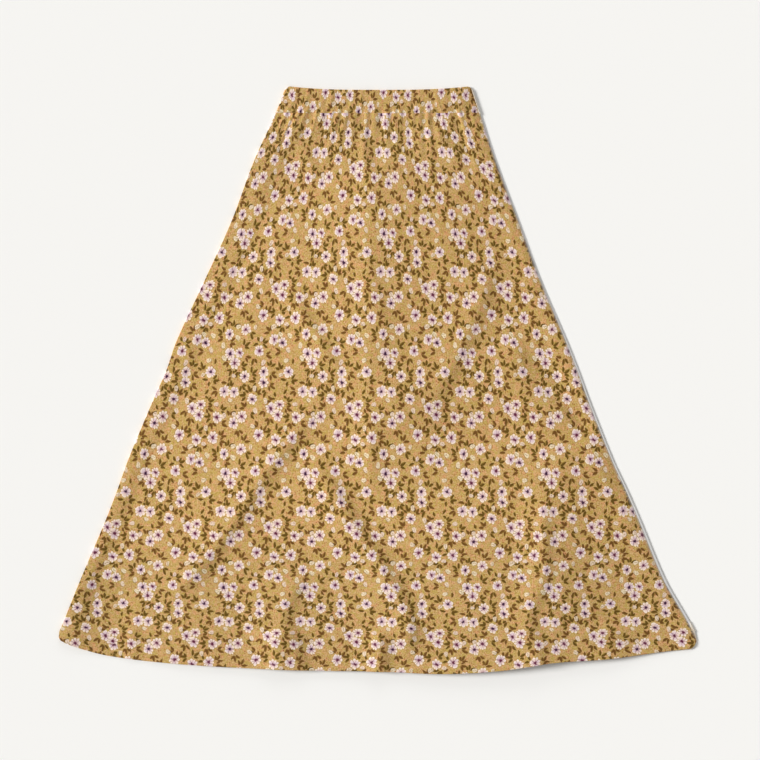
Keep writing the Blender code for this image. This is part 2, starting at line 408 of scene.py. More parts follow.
class Repeat:
    """The print's repeat: flowers tossed alone, in pairs and in threes, with leaves and buds."""

    def __init__(self, wide: float, tall: float, seed: int) -> None:
        """Tosses the motifs.

        Args:
            wide: the repeat's width, in millimetres.
            tall: its height.
            seed: which of the random layouts.
        """
        self.wide, self.tall = wide, tall
        self.flowers: list[Motif] = []
        self.fans: list[Motif] = []
        self.buds: list[Motif] = []
        draw = random.Random(seed)
        for size in CLUSTERS:
            tries = [
                Motif(draw.uniform(0.0, wide), draw.uniform(0.0, tall), draw.random())
                for _ in range(CLUSTER_TRIES)
            ]
            first = max(tries, key=lambda motif: self.clearance(motif, self.flowers))
            angle = draw.uniform(-math.pi, math.pi)
            others = []
            for _ in range(size - 1):
                others.append(self.beside(first, draw.uniform(*CLUSTER_STEP), angle, draw.random()))
                angle += CLUSTER_ANGLE
            self.flowers += [first, *others]
        for motifs, toss in ((self.fans, FANS), (self.buds, BUDS)):
            for _ in range(toss.count):
                motifs.append(self.place(draw, toss))

    def beside(self, motif: Motif, away: float, angle: float, turn: float) -> Motif:
        """A motif at some distance from another, on the repeat."""
        across = (motif.across + away * math.cos(angle)) % self.wide
        return Motif(across, (motif.up + away * math.sin(angle)) % self.tall, turn)

    def clearance(self, motif: Motif, others: list[Motif]) -> float:
        """The distance from a motif to the nearest of others, over the repeat's edges too."""
        nearest = self.wide
        for other in others:
            across, up = abs(motif.across - other.across), abs(motif.up - other.up)
            gap = math.hypot(min(across, self.wide - across), min(up, self.tall - up))
            nearest = min(nearest, gap)
        return nearest

    def room(self, motif: Motif) -> float:
        """How far a motif's middle is from crowding what lies round it."""
        return min(
            self.clearance(motif, self.flowers) - FLOWER_ROOM,
            self.clearance(motif, self.fans) - FAN_ROOM,
            self.clearance(motif, self.buds) - BUD_ROOM,
        )

    def place(self, draw: random.Random, toss: Toss) -> Motif:
        """The roomiest of a few places beside a flower.

        Args:
            draw: the random numbers.
            toss: how motifs of its kind are tossed.

        Returns:
            A motif that points away from its flower.
        """
        tries = []
        for _ in range(MOTIF_TRIES):
            angle = draw.uniform(-math.pi, math.pi)
            turn = (angle / math.tau + draw.uniform(-toss.stray, toss.stray)) % 1.0
            flower = draw.choice(self.flowers)
            tries.append(self.beside(flower, draw.uniform(toss.near, toss.far), angle, turn))
        return max(tries, key=self.room)


# ---------------------------------------------------------------------------------------
# Shapes
# ---------------------------------------------------------------------------------------


def smooth_step(share: Array) -> Array:
    """0 at or below 0, 1 at or above 1, and a smooth slope between them."""
    share = np.clip(share, 0.0, 1.0)
    return share * share * (3.0 - 2.0 * share)


def between(left: Any, right: Any, across: Array) -> Array:
    """A value that goes evenly from one at -1 across to another at 1."""
    return left + (right - left) * (across + 1.0) / 2.0


@dataclass(frozen=True)
class Ease:
    """A smooth rise from 0 to 1 that starts at one drop and takes a length."""

    start: float
    length: float

    def at(self, drop: Array) -> Array:
        """How far it has risen at each drop."""
        return smooth_step((drop - self.start) / self.length)


@dataclass(frozen=True)
class Crinkle:
    """Smooth random waves over the cloth."""

    height: float  # of the middle of a wave
    across: float  # size of a wave across
    down: float  # and down
    seed: float  # which waves

    def lift(self, x: Array, drop: Array, share: Array | float = 1.0) -> Array:
        """How far the waves lift the cloth.

        Args:
            x: places across.
            drop: places down.
            share: how much of the waves each place takes.

        Returns:
            The lift at each place.
        """
        places = zip(x / self.across, drop / self.down)
        waves = np.array([noise.noise(Vector((u, v, self.seed))) for u, v in places])
        return share * self.height * (1.0 + waves)


@dataclass(frozen=True)
class SmoothCurve:
    """A smooth curve through a table's rows."""

    keys: tuple[float, ...]
    values: tuple[float, ...]

    @classmethod
    def through(cls, rows: tuple[Any, ...], key: str, column: str) -> "SmoothCurve":
        """The curve of one of a table's columns over another."""
        return cls(
            tuple(getattr(row, key) for row in rows), tuple(getattr(row, column) for row in rows)
        )

    def at(self, place: Array) -> Array:
        """The curve's values at places along its keys."""
        keys, values = np.array(self.keys), np.array(self.values)
        last = len(keys) - 1
        index = np.arange(last + 1)
        before, after = np.maximum(index - 1, 0), np.minimum(index + 1, last)
        slopes = (values[after] - values[before]) / (keys[after] - keys[before])
        low = np.clip(np.searchsorted(keys, place, side="right") - 1, 0, last - 1)
        span = keys[low + 1] - keys[low]
        t = (place - keys[low]) / span
        rest = 1.0 - t
        return (
            (1.0 + 2.0 * t) * rest * rest * values[low]
            + t * rest * rest * slopes[low] * span
            + t * t * (3.0 - 2.0 * t) * values[low + 1]
            - t * t * rest * slopes[low + 1] * span
        )


@dataclass(frozen=True)
class Outline:
    """The skirt's outline as it lies, with the seam between its waistband and its panels."""

    left: SmoothCurve = SmoothCurve.through(SECTIONS, "drop", "left")
    right: SmoothCurve = SmoothCurve.through(SECTIONS, "drop", "right")
    margin: SmoothCurve = SmoothCurve.through(SECTIONS, "drop", "margin")
    hem: SmoothCurve = SmoothCurve.through(HEM, "across", "drop")
    band_depth: float = 0.038
    waist_dip: float = 0.0055
    seam_dip: float = 0.001
    left_corner: float = 0.009
    right_corner: float = 0.020
    waist_corner: float = 0.005

    def dip(self, across: Array) -> Array:
        """How the waist's edges dip between the side seams, from 0 to 1 at the centre."""
        return 1.0 - np.abs(across) ** 3

    def seam_drop(self, across: Array) -> Array:
        """The drop of the seam under the waistband."""
        return self.band_depth + self.seam_dip * self.dip(across)

    def top_drop(self, across: Array) -> Array:
        """The drop of the waistband's top edge, with its corners rounded."""
        half = (self.right.at(0.0) - self.left.at(0.0)) / 2.0
        return self.waist_dip * self.dip(across) + self.rounding(across, half, self.waist_corner)

    def hem_drop(self, across: Array) -> Array:
        """The hem's drop, with its corners rounded."""
        last = SECTIONS[-1]
        half = (last.right - last.left) / 2.0
        left = self.rounding(np.minimum(across, 0.0), half, self.left_corner)
        right = self.rounding(np.maximum(across, 0.0), half, self.right_corner)
        return self.hem.at(across) - left - right

    def follow(self, across: Array, start: Array, end: Array) -> Array:
        """How far a point moves across as it goes from one drop to another between the sides."""
        left = self.left.at(end) - self.left.at(start)
        right = self.right.at(end) - self.right.at(start)
        return between(left, right, across)

    @staticmethod
    def rounding(across: Array, half: float, radius: float) -> Array:
        """How far a rounded corner pulls an edge in.

        Args:
            across: places across the piece.
            half: half the edge's width.
            radius: the corner's radius.

        Returns:
            The pull at each place, 0 away from the corners.
        """
        inside = np.clip(1.0 - (1.0 - np.abs(across)) * half / radius, 0.0, 1.0)
        return radius * (1.0 - np.sqrt(1.0 - inside**2))


@dataclass(frozen=True)
class Bend:
    """Where cloth lies that has gone part of the way round an edge."""

    out: Array  # outwards from where the turn starts
    fall: Array  # away from the face
    travel: Array  # length of cloth
    upright: Array  # 1 where the cloth still faces as the face does, 0 once it is on edge


@dataclass(frozen=True)
class Turn:
    """Cloth that turns over an edge: round a radius through some degrees, and straight on."""

    radius: float
    degrees: float
    tuck: float = 0.0
    round_share: float = 0.65  # share of the edge's rows that go round, where it has a tuck

    def bend(self, share: Array, extra: Array | float = 0.0) -> Bend:
        """Where the cloth lies.

        Args:
            share: how far along the edge's cloth, from 0 to 1.
            extra: length added to the tuck.

        Returns:
            The bend at each share.
        """
        tuck = self.tuck + extra
        part = self.round_share if np.max(tuck) > 0.0 else 1.0
        angle = math.radians(self.degrees)
        turned = angle * np.clip(share / part, 0.0, 1.0)
        straight = tuck * np.clip((share - part) / max(1.0 - part, TINY), 0.0, 1.0)
        return Bend(
            out=self.radius * np.sin(turned) + straight * math.cos(angle),
            fall=self.radius * (1.0 - np.cos(turned)) + straight * math.sin(angle),
            travel=self.radius * turned + straight,
            upright=np.maximum(np.cos(turned), 0.0),
        )


@dataclass(frozen=True)
class Shares:
    """Where a net's points lie on a piece's face, and how far along each turned edge.

    across runs from -1 to 1 and down from 0 to 1. Each of the others is 0 on the face and
    rises to 1 at the end of that edge's cloth.
    """

    across: Array
    down: Array
    left: Array
    right: Array
    top: Array
    bottom: Array


@dataclass(frozen=True)
class Net:
    """How finely a piece's net divides: its face, and the rows that go over each edge."""

    columns: int
    rows: int
    left: int = 6
    right: int = 6
    top: int = 4
    bottom: int = 10
    crowding: float = 0.35  # how much closer the columns lie towards the sides

    def spread(self) -> tuple[bmesh.types.BMesh, Shares]:
        """A flat net, and the shares of its points."""
        wide = self.left + self.columns + self.right
        tall = self.top + self.rows + self.bottom
        mesh = bmesh.new()
        bmesh.ops.create_grid(mesh, x_segments=wide, y_segments=tall, size=1.0)
        spots = np.array([vert.co.to_tuple() for vert in mesh.verts])
        column = (spots[:, 0] + 1.0) / 2.0 * wide
        row = (1.0 - spots[:, 1]) / 2.0 * tall
        even = 2.0 * np.clip((column - self.left) / self.columns, 0.0, 1.0) - 1.0
        shares = Shares(
            across=even + self.crowding * np.sin(math.pi * even) / math.pi,
            down=np.clip((row - self.top) / self.rows, 0.0, 1.0),
            left=np.clip(1.0 - column / self.left, 0.0, 1.0),
            right=np.clip((column - self.left - self.columns) / self.right, 0.0, 1.0),
            top=np.clip(1.0 - row / self.top, 0.0, 1.0),
            bottom=np.clip((row - self.top - self.rows) / self.bottom, 0.0, 1.0),
        )
        return mesh, shares


@dataclass(frozen=True)
class Gather:
    """One ridge that the elastic pushes up at the waist seam."""

    across: float
    width: float
    height: float
    reach: float  # how far it runs from the seam
    lean: float  # how far across it drifts for each metre of that


class Gathers:
    """The uneven ridges along one side of the waist seam."""

    END = 0.97  # how far across the first ridge is from the middle, and the last at most
    STEP = (0.045, 0.12)  # from one ridge to the next
    WIDTH = (0.45, 0.75)  # a ridge's width, as a share of its step
    HEIGHT = (0.25, 1.0)  # as a share of the highest
    REACH = (0.35, 1.0)  # as a share of the longest
    LEAN = (-0.5, 0.5)

    def __init__(self, seed: int, height: float, reach: float) -> None:
        """Lays the ridges out.

        Args:
            seed: which of the random layouts.
            height: the highest ridge.
            reach: the longest ridge.
        """
        draw = random.Random(seed)
        self.ridges: list[Gather] = []
        across = -self.END
        while across < self.END:
            step = draw.uniform(*self.STEP)
            self.ridges.append(
                Gather(
                    across=across,
                    width=step * draw.uniform(*self.WIDTH),
                    height=height * draw.uniform(*self.HEIGHT),
                    reach=reach * draw.uniform(*self.REACH),
                    lean=draw.uniform(*self.LEAN),
                )
            )
            across += step

    def lift(self, across: Array, away: Array) -> Array:
        """How far the ridges lift the cloth.

        Args:
            across: places across, from -1 to 1.
            away: distance from the seam.

        Returns:
            The lift at each place.
        """
        total = np.zeros(across.shape)
        for ridge in self.ridges:
            offset = (across - ridge.across - ridge.lean * away) / ridge.width
            fade = smooth_step(1.0 - away / ridge.reach)
            total += ridge.height * smooth_step(1.0 - np.abs(offset)) * fade
        return total


@dataclass(frozen=True)
class WaistSeam:
    """The height at which the front panel and its half of the waistband meet."""

    base: float = 0.0042
    ends: float = 0.15  # share of the half-width over which the ridges rise from the side seams
    blend: float = 0.012  # distance from the seam over which a piece finds its own height
    end_fall: float = 0.0026  # how much lower the right end lies
    end_width: float = 0.06  # share of the half-width over which it falls
    gathers: Gathers = field(default_factory=lambda: Gathers(7, 0.0016, 0.125))

    def end(self, across: Array) -> Array:
        """How much lower the cloth lies as it nears its right end."""
        return self.end_fall * np.exp((across - 1.0) / self.end_width)

    def ridges(self, across: Array, away: Array) -> Array:
        """How far the gathers lift the cloth at some distance from the seam."""
        rise = smooth_step((1.0 - np.abs(across)) / self.ends)
        return rise * self.gathers.lift(across, away)

    def meet(self, across: Array, away: Array, height: Array) -> Array:
        """A piece's height, brought to the seam's own where the piece is sewn in.

        Args:
            across: places across, from -1 to 1.
            away: distance from the seam.
            height: the piece's own height.

        Returns:
            The height at each place.
        """
        share = smooth_step(away / self.blend)
        seam = self.base - self.end(across) + self.ridges(across, 0.0 * away)
        return seam + (height - seam) * share


@dataclass(frozen=True)
class PrintWarp:
    """How the print sits on the laid skirt: gathered at the waist and plain by the hem."""

    centre: float = -0.010  # x of the column that hangs straight
    drawn_in: float = 0.293  # share by which the waist gathers the repeat's width
    relax: float = 0.200  # drop over which the gathering eases
    start: float = 0.049
    stretch: float = 0.89  # length of cloth for each length of skirt, above the flare
    flare_start: float = 0.56
    flare_depth: float = 0.18

    def lay(self, x: Array, drop: Array) -> Array:
        """The places of points on the flat printed cloth.

        Args:
            x: places across the skirt.
            drop: places down it.

        Returns:
            An array of (across, up) rows.
        """
        drawn = self.drawn_in * np.exp((self.start - np.maximum(drop, self.start)) / self.relax)
        share = np.clip((drop - self.flare_start) / self.flare_depth, 0.0, 1.0)
        gained = self.flare_depth * (share**3 - share**4 / 2.0)
        gained += np.maximum(drop - self.flare_start - self.flare_depth, 0.0)
        across = (x - self.centre) / (1.0 - drawn)
        return np.stack([across, -(self.stretch * drop + (1.0 - self.stretch) * gained)], axis=1)


# ---------------------------------------------------------------------------------------
# Sewn pieces
# ---------------------------------------------------------------------------------------


class Facing(Enum):
    """Which way a piece's printed face looks."""

    UP = 1.0
    DOWN = -1.0


LEAST_SPREAD = 0.02  # of a side edge's cloth where the top or the hem has turned it under


def add_to_scene(name: str, data: Any) -> bpy.types.Object:
    """Makes an object of some data and puts it in the scene."""
    thing = bpy.data.objects.new(name, data)
    bpy.context.scene.collection.objects.link(thing)
    return thing


@dataclass(frozen=True)
class Cut:
    """A piece's flat cut, before it is gathered, turned and sewn."""

    width: float
    length: float
    area: float


@dataclass(frozen=True)
class Face:
    """A piece's face: where each point of the net lies before the edges turn."""

    x: Array
    drop: Array
    height: Array


@dataclass
class SewnPiece(ABC):
    """One piece of cloth, as a net that lies on its solid's form."""

    name: str
    node: str
    facing: Facing
    net: Net
    cut: Cut
    left_turn: Turn
    right_turn: Turn
    top_turn: Turn
    bottom_turn: Turn
    print_shift: tuple[float, float] = (0.0, 0.0)
    outline: Outline = field(default_factory=Outline)
    warp: PrintWarp = field(default_factory=PrintWarp)
    wall: float = 0.0005

    @abstractmethod
    def face(self, shares: Shares) -> Face:
        """Where the face's points lie."""

    def right_tuck(self, drop: Array) -> Array:
        """Length added to the right edge's tuck."""
        return 0.0 * drop

    @abstractmethod
    def unprinted(self, face: Face, travelled: Array) -> Array:
        """Share of bare cloth, by how far past its face's right edge a point has travelled."""

    def build(self, origin: Vector, materials: list[bpy.types.Material]) -> bpy.types.Object:
        """Makes the piece.

        Args:
            origin: the frame's place for x 0 and drop 0.
            materials: of its printed face and its wrong side.

        Returns:
            The piece's object.
        """
        mesh, shares = self.net.spread()
        face = self.face(shares)
        left = self.left_turn.bend(shares.left)
        right = self.right_turn.bend(shares.right, self.right_tuck(face.drop))
        top, bottom = self.top_turn.bend(shares.top), self.bottom_turn.bend(shares.bottom)
        flat = np.maximum(top.upright * bottom.upright, LEAST_SPREAD)
        drop = face.drop + bottom.out - top.out
        x = face.x + (right.out - left.out) * flat
        x = x + self.outline.follow(shares.across, face.drop, drop)
        fall = top.fall + bottom.fall + (left.fall + right.fall) * flat
        points = np.stack([x, -drop, face.height - self.facing.value * fall], axis=1)
        for vert, point in zip(mesh.verts, points + np.array(origin)):
            vert.co = point
        if self.facing is Facing.DOWN:
            bmesh.ops.reverse_faces(mesh, faces=mesh.faces[:])
        data = bpy.data.meshes.new(self.name)
        mesh.to_mesh(data)
        mesh.free()
        data.shade_smooth()
        beyond = right.travel - left.travel
        self.lay_print(data, face.x + beyond, face.drop + bottom.travel - top.travel)
        bare = data.attributes.new("bare", "FLOAT", "POINT")
        bare.data.foreach_set("value", self.unprinted(face, beyond).astype(np.float32))
        for material in materials:
            data.materials.append(material)
        piece = add_to_scene(self.name, data)
        self.thicken(piece)
        return piece

    def lay_print(self, data: bpy.types.Mesh, x: Array, drop: Array) -> None:
        """Gives the mesh the flat cloth's own coordinates.

        Args:
            data: the mesh.
            x: places across, along the cloth.
            drop: places down, along the cloth.
        """
        spots = self.warp.lay(x, drop) + np.array(self.print_shift)
        corners = np.zeros(len(data.loops), np.int32)
        data.loops.foreach_get("vertex_index", corners)
        layer = data.uv_layers.new(name="cloth")
        layer.data.foreach_set("uv", spots[corners].astype(np.float32).ravel())

    def thicken(self, piece: bpy.types.Object) -> None:
        """Gives the cloth its wall, whose inner side takes the second material."""
        wall = piece.modifiers.new("wall", "SOLIDIFY")
        wall.thickness = self.wall
        wall.offset = -1.0
        wall.use_rim = True
        wall.material_offset = 1
        wall.material_offset_rim = 0

    def declare(self, piece: bpy.types.Object, rests_on: list[str]) -> None:
        """Attaches the piece to the root body and hides the solid it stands for."""
        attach(piece, "root")
        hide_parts(self.node)


@dataclass
class FrontPanel(SewnPiece):
    """The front: it lies over the back with a little loft, gathers and its own folds."""

    name: str = "front_cloth"
    node: str = "front_panel"
    facing: Facing = Facing.UP
    net: Net = Net(columns=204, rows=182, crowding=0.5)
    cut: Cut = Cut(width=0.97, length=0.83, area=0.575)
    left_turn: Turn = Turn(radius=0.0005, degrees=100.0, tuck=0.0018)
    right_turn: Turn = Turn(radius=0.0006, degrees=100.0)
    top_turn: Turn = Turn(radius=0.0002, degrees=90.0, tuck=0.0012)
    bottom_turn: Turn = Turn(radius=0.00065, degrees=180.0, tuck=0.014)
    base: float = 0.0027  # height of the printed face where it lies tight, by the left edge
    right_base: float = 0.0013  # and by the right edge
    loft: float = 0.0014  # how far it stands above that, towards the left edge
    right_loft: float = 0.0008  # and towards the right edge
    swell: float = 0.0078  # height of the broad fold that the body makes, above its loft
    swell_top: float = 0.0038  # and near the waist
    swell_crest: float = -0.03  # where its crest is, across, from -1 to 1
    hem_crest: float = 0.28  # and by the hem
    swell_softness: float = 0.16
    left_slope: float = 0.090
    right_slope: float = 0.030
    rim_height: float = 0.0016  # of the seam allowances inside the left edge
    rim_growth: float = 0.0009  # how much thicker they lie by the hem
    rim_end: float = 0.048  # how far from the edge they end, near the waist
    rim_narrowing: float = 0.016  # how much nearer to it they end below the hips
    rim_fall: float = 0.025
    right_rim: float = 0.0008  # height of the allowances inside the right edge
    right_rim_start: float = 0.012
    right_rim_end: float = 0.034
    rim_spread: float = 0.034  # how much further in they end at the hem
    rim_spreads: Ease = Ease(start=0.71, length=0.10)
    rim_narrows: Ease = Ease(start=0.30, length=0.32)
    swell_grows: Ease = Ease(start=0.10, length=0.30)  # from its height near the waist
    crest_drifts: Ease = Ease(start=0.42, length=0.34)  # towards its place by the hem
    left_flat: float = 0.13  # share of the left half over which the broad fold has not begun
    edge_bare: float = 0.45  # how far the print thins at the right seam
    edge_width: float = 0.0035
    roll_width: float = 0.0040  # over which the loft rolls down to the right edge
    hem_settle: float = 0.55
    hem_slope: float = 0.090
    waist_slope: float = 0.120
    crease_slope: float = 0.03  # distance from the seam over which the creases begin
    crinkle: Crinkle = Crinkle(height=0.00030, across=0.045, down=0.085, seed=1.0)
    fine_crinkle: Crinkle = Crinkle(height=0.00012, across=0.016, down=0.026, seed=2.0)
    seam: WaistSeam = field(default_factory=WaistSeam)

    def face(self, shares: Shares) -> Face:
        """Where the face's points lie."""
        seam = self.outline.seam_drop(shares.across) + self.top_turn.radius
        hem = self.outline.hem_drop(shares.across) - self.bottom_turn.radius
        drop = seam + (hem - seam) * shares.down
        left, right = self.outline.left.at(drop), self.outline.right.at(drop)
        inner_left, inner_right = left + self.left_turn.radius, right - self.right_turn.radius
        x = between(inner_left, inner_right, shares.across)
        height = between(self.base, self.right_base, shares.across)
        height = height + self.body(shares.across, drop, x - left, right - x, hem - drop)
        height = height + self.folds(x, drop, shares.across, np.minimum(x - left, right - x))
        return Face(x, drop, self.seam.meet(shares.across, drop - seam, height))

    def body(
        self, across: Array, drop: Array, from_left: Array, from_right: Array, above_hem: Array
    ) -> Array:
        """How far the front rises as one broad fold, with its thicker left rim.

        Args:
            across: places across, from -1 to 1.
            drop: places down.
            from_left: distance from the left edge.
            from_right: distance from the right edge.
            above_hem: distance from the hem.

        Returns:
            The lift at each place.
        """
        waist = smooth_step((drop - self.outline.band_depth) / self.waist_slope)
        low = self.crest_drifts.at(drop)
        hem = self.hem_settle + (1.0 - self.hem_settle) * smooth_step(above_hem / self.hem_slope)
        crest = self.swell_crest + (self.hem_crest - self.swell_crest) * low
        left_flank = (crest - across) / (1.0 + crest) / (1.0 - self.left_flat)
        flank = np.where(across < crest, left_flank, (across - crest) / (1.0 - crest))
        flank = np.minimum(flank, 1.0)
        soft = self.swell_softness
        slope = (np.hypot(flank, soft) - soft) / (math.hypot(1.0, soft) - soft)
        grown = (self.swell - self.swell_top) * self.swell_grows.at(drop)
        swell = (self.swell_top + grown) * (1.0 - slope)
        sides = smooth_step(from_left / self.left_slope)
        spread = self.rim_spread * self.rim_spreads.at(drop)
        end = self.rim_end - self.rim_narrowing * self.rim_narrows.at(drop)
        rim = (self.rim_height + self.rim_growth * low) * smooth_step(
            (end + spread - from_left) / (self.rim_fall + spread)
        )
        right_rim = self.right_rim * smooth_step(
            (self.right_rim_end - from_right) / (self.right_rim_end - self.right_rim_start)
        )
        roll = 1.0 - np.exp(-from_right / self.roll_width)
        loft = between(self.loft, self.right_loft, across) * sides
        return (loft + right_rim) * roll * hem + (swell * hem + rim) * waist

    def unprinted(self, face: Face, travelled: Array) -> Array:
        """Share of bare cloth: the print thins towards the right seam."""
        right = self.outline.right.at(face.drop)
        return self.edge_bare * smooth_step((face.x + travelled - right) / self.edge_width + 1.0)

    def folds(self, x: Array, drop: Array, across: Array, inset: Array) -> Array:
        """How far the gathers, the creases and the crinkle lift the front.

        Args:
            x: places across.
            drop: places down.
            across: places across, from -1 to 1.
            inset: distance from the nearer side edge.

        Returns:
            The lift at each place.
        """
        side = smooth_step(inset / self.right_slope)
        below = drop - self.outline.seam_drop(across)
        total = self.seam.ridges(across, below)
        for crease in FRONT_CREASES:
            total = total + side * crease.lift(x, drop) * smooth_step(below / self.crease_slope)
        total = total + self.crinkle.lift(x, drop, side)
        return total + self.fine_crinkle.lift(x, drop, side)


@dataclass
class BackPanel(SewnPiece):
    """The back: it lies on its printed face, with shallow creases pressed up into the skirt.

    On the right it rolls out past the front, as an unprinted strip that turns over to the
    side seam.
    """

    name: str = "back_cloth"
    node: str = "back_panel"
    facing: Facing = Facing.DOWN
    net: Net = Net(columns=150, rows=140, right=16)
    cut: Cut = Cut(width=0.98, length=0.827, area=0.58)
    left_turn: Turn = Turn(radius=0.0013, degrees=95.0)
    right_turn: Turn = Turn(radius=0.0005, degrees=180.0, tuck=0.001, round_share=0.6)
    top_turn: Turn = Turn(radius=0.0006, degrees=90.0, tuck=0.0006)
    bottom_turn: Turn = Turn(radius=0.00055, degrees=180.0, tuck=0.014)
    rest: float = 0.0002  # height of the printed face where it lies on the floor
    hem_rise: float = 0.003  # how far its hem stops short of the front's
    print_edge: float = 0.0035  # the print stops this far under the rolled edge
    edge_width: float = 0.0015  # and fades over this
    side_slope: float = 0.04
    top_slope: float = 0.06
    crinkle: Crinkle = Crinkle(height=0.00022, across=0.05, down=0.09, seed=5.0)

    def face(self, shares: Shares) -> Face:
        """Where the face's points lie."""
        seam = self.outline.seam_drop(shares.across) + self.top_turn.radius
        hem = self.outline.hem_drop(shares.across) - self.hem_rise - self.bottom_turn.radius
        drop = seam + (hem - seam) * shares.down
        left = self.outline.left.at(drop) + self.left_turn.radius
        right = self.outline.right.at(drop) + self.outline.margin.at(drop) - self.right_turn.radius
        x = between(left, right, shares.across)
        side = smooth_step(np.minimum(x - left, right - x) / self.side_slope)
        side = side * smooth_step((drop - seam) / self.top_slope)
        lift = self.crinkle.lift(x, drop)
        for crease in BACK_CREASES:
            lift = lift + crease.lift(x, drop)
        return Face(x, drop, self.rest + side * lift)

    def right_tuck(self, drop: Array) -> Array:
        """The strip's width, from the rolled edge to the side seam."""
        return self.outline.margin.at(drop)

    def unprinted(self, face: Face, travelled: Array) -> Array:
        """Share of bare cloth: 1 on the strip and 0 where the print starts beneath it."""
        right = self.outline.right.at(face.drop) + self.outline.margin.at(face.drop)
        return smooth_step((face.x + travelled - right + self.print_edge) / self.edge_width)


@dataclass
class WaistbandHalf(SewnPiece):
    """Half the waistband: a strip folded over its elastic at the top and sewn in below."""

    base: float = 0.0045  # height of the outer layer's printed face
    ripple: Crinkle = Crinkle(height=0.0003, across=0.012, down=0.060, seed=8.0)
    ends: float = 0.16  # share of the half-width over which the ridges rise from the side seams
    depth: float = 0.030  # distance over which the ridges count as reaching up from the seam
    print_edge: float = 0.002  # the print stops this far short of a rolled-out edge
    edge_width: float = 0.001  # and fades over this
    gathers: Gathers = field(default_factory=lambda: Gathers(11, 0.0009, 0.060))
    seam: WaistSeam | None = None  # where it meets the front panel, if it does
    rolls_out: bool = False  # past the front's right edge, as the back panel does

    def face(self, shares: Shares) -> Face:
        """Where the face's points lie."""
        top = self.outline.top_drop(shares.across) + self.top_turn.radius
        seam = self.outline.seam_drop(shares.across) - self.bottom_turn.radius
        drop = top + (seam - top) * shares.down
        left = self.outline.left.at(drop) + self.left_turn.radius
        right = self.outline.right.at(drop) - self.right_turn.radius
        if self.rolls_out:
            right = right + self.outline.margin.at(drop)
        x = between(left, right, shares.across)
        ends = smooth_step((1.0 - np.abs(shares.across)) / self.ends)
        ridges = self.gathers.lift(shares.across, self.depth * (1.0 - shares.down))
        height = self.base + self.facing.value * ends * (ridges + self.ripple.lift(x, drop))
        if self.seam:
            height = height - self.seam.end(shares.across)
            height = self.seam.meet(shares.across, seam - drop, height)
        return Face(x, drop, height)

    def unprinted(self, face: Face, travelled: Array) -> Array:
        """Share of bare cloth: 1 past the right edge of a half that rolls out."""
        if not self.rolls_out:
            return 0.0 * travelled
        right = self.outline.right.at(face.drop) + self.outline.margin.at(face.drop)
        return smooth_step((face.x + travelled - right + self.print_edge) / self.edge_width)


BAND_CUT = Cut(width=0.377, length=0.0745, area=0.0277)


def waistband_front() -> WaistbandHalf:
    """The half that faces up."""
    return WaistbandHalf(
        name="front_band",
        node="waistband_front",
        facing=Facing.UP,
        net=Net(columns=240, rows=24, top=34, bottom=4),
        cut=BAND_CUT,
        left_turn=Turn(radius=0.0016, degrees=90.0, tuck=0.0005),
        right_turn=Turn(radius=0.0009, degrees=90.0, tuck=0.0004),
        top_turn=Turn(radius=0.0009, degrees=180.0, tuck=0.035, round_share=0.30),
        bottom_turn=Turn(radius=0.0002, degrees=90.0, tuck=0.0012),
        print_shift=(0.043, 0.021),
        seam=WaistSeam(),
    )


def waistband_back() -> WaistbandHalf:
    """The half that lies on the floor."""
    return WaistbandHalf(
        name="back_band",
        node="waistband_back",
        facing=Facing.DOWN,
        net=Net(columns=160, rows=16, top=24, bottom=4),
        cut=BAND_CUT,
        left_turn=Turn(radius=0.0011, degrees=90.0, tuck=0.0009),
        right_turn=Turn(radius=0.0006, degrees=180.0, tuck=0.002, round_share=0.6),
        top_turn=Turn(radius=0.0009, degrees=180.0, tuck=0.035, round_share=0.30),
        bottom_turn=Turn(radius=0.0006, degrees=90.0, tuck=0.0006),
        print_shift=(0.015, 0.060),
        base=0.0002,
        ripple=Crinkle(height=0.0, across=0.012, down=0.060, seed=8.0),
        gathers=Gathers(13, -0.0003, 0.060),
        rolls_out=True,
    )


# ---------------------------------------------------------------------------------------
# Shader maths
# ---------------------------------------------------------------------------------------


def dye(red: int, green: int, blue: int) -> Colour:
    """A colour named as a screen shows it, as the linear colour that a shader takes."""

    def linear(level: int) -> float:
        """One channel of it."""
        share = level / 255.0
        return share / 12.92 if share <= 0.04045 else ((share + 0.055) / 1.055) ** 2.4

    return linear(red), linear(green), linear(blue), 1.0


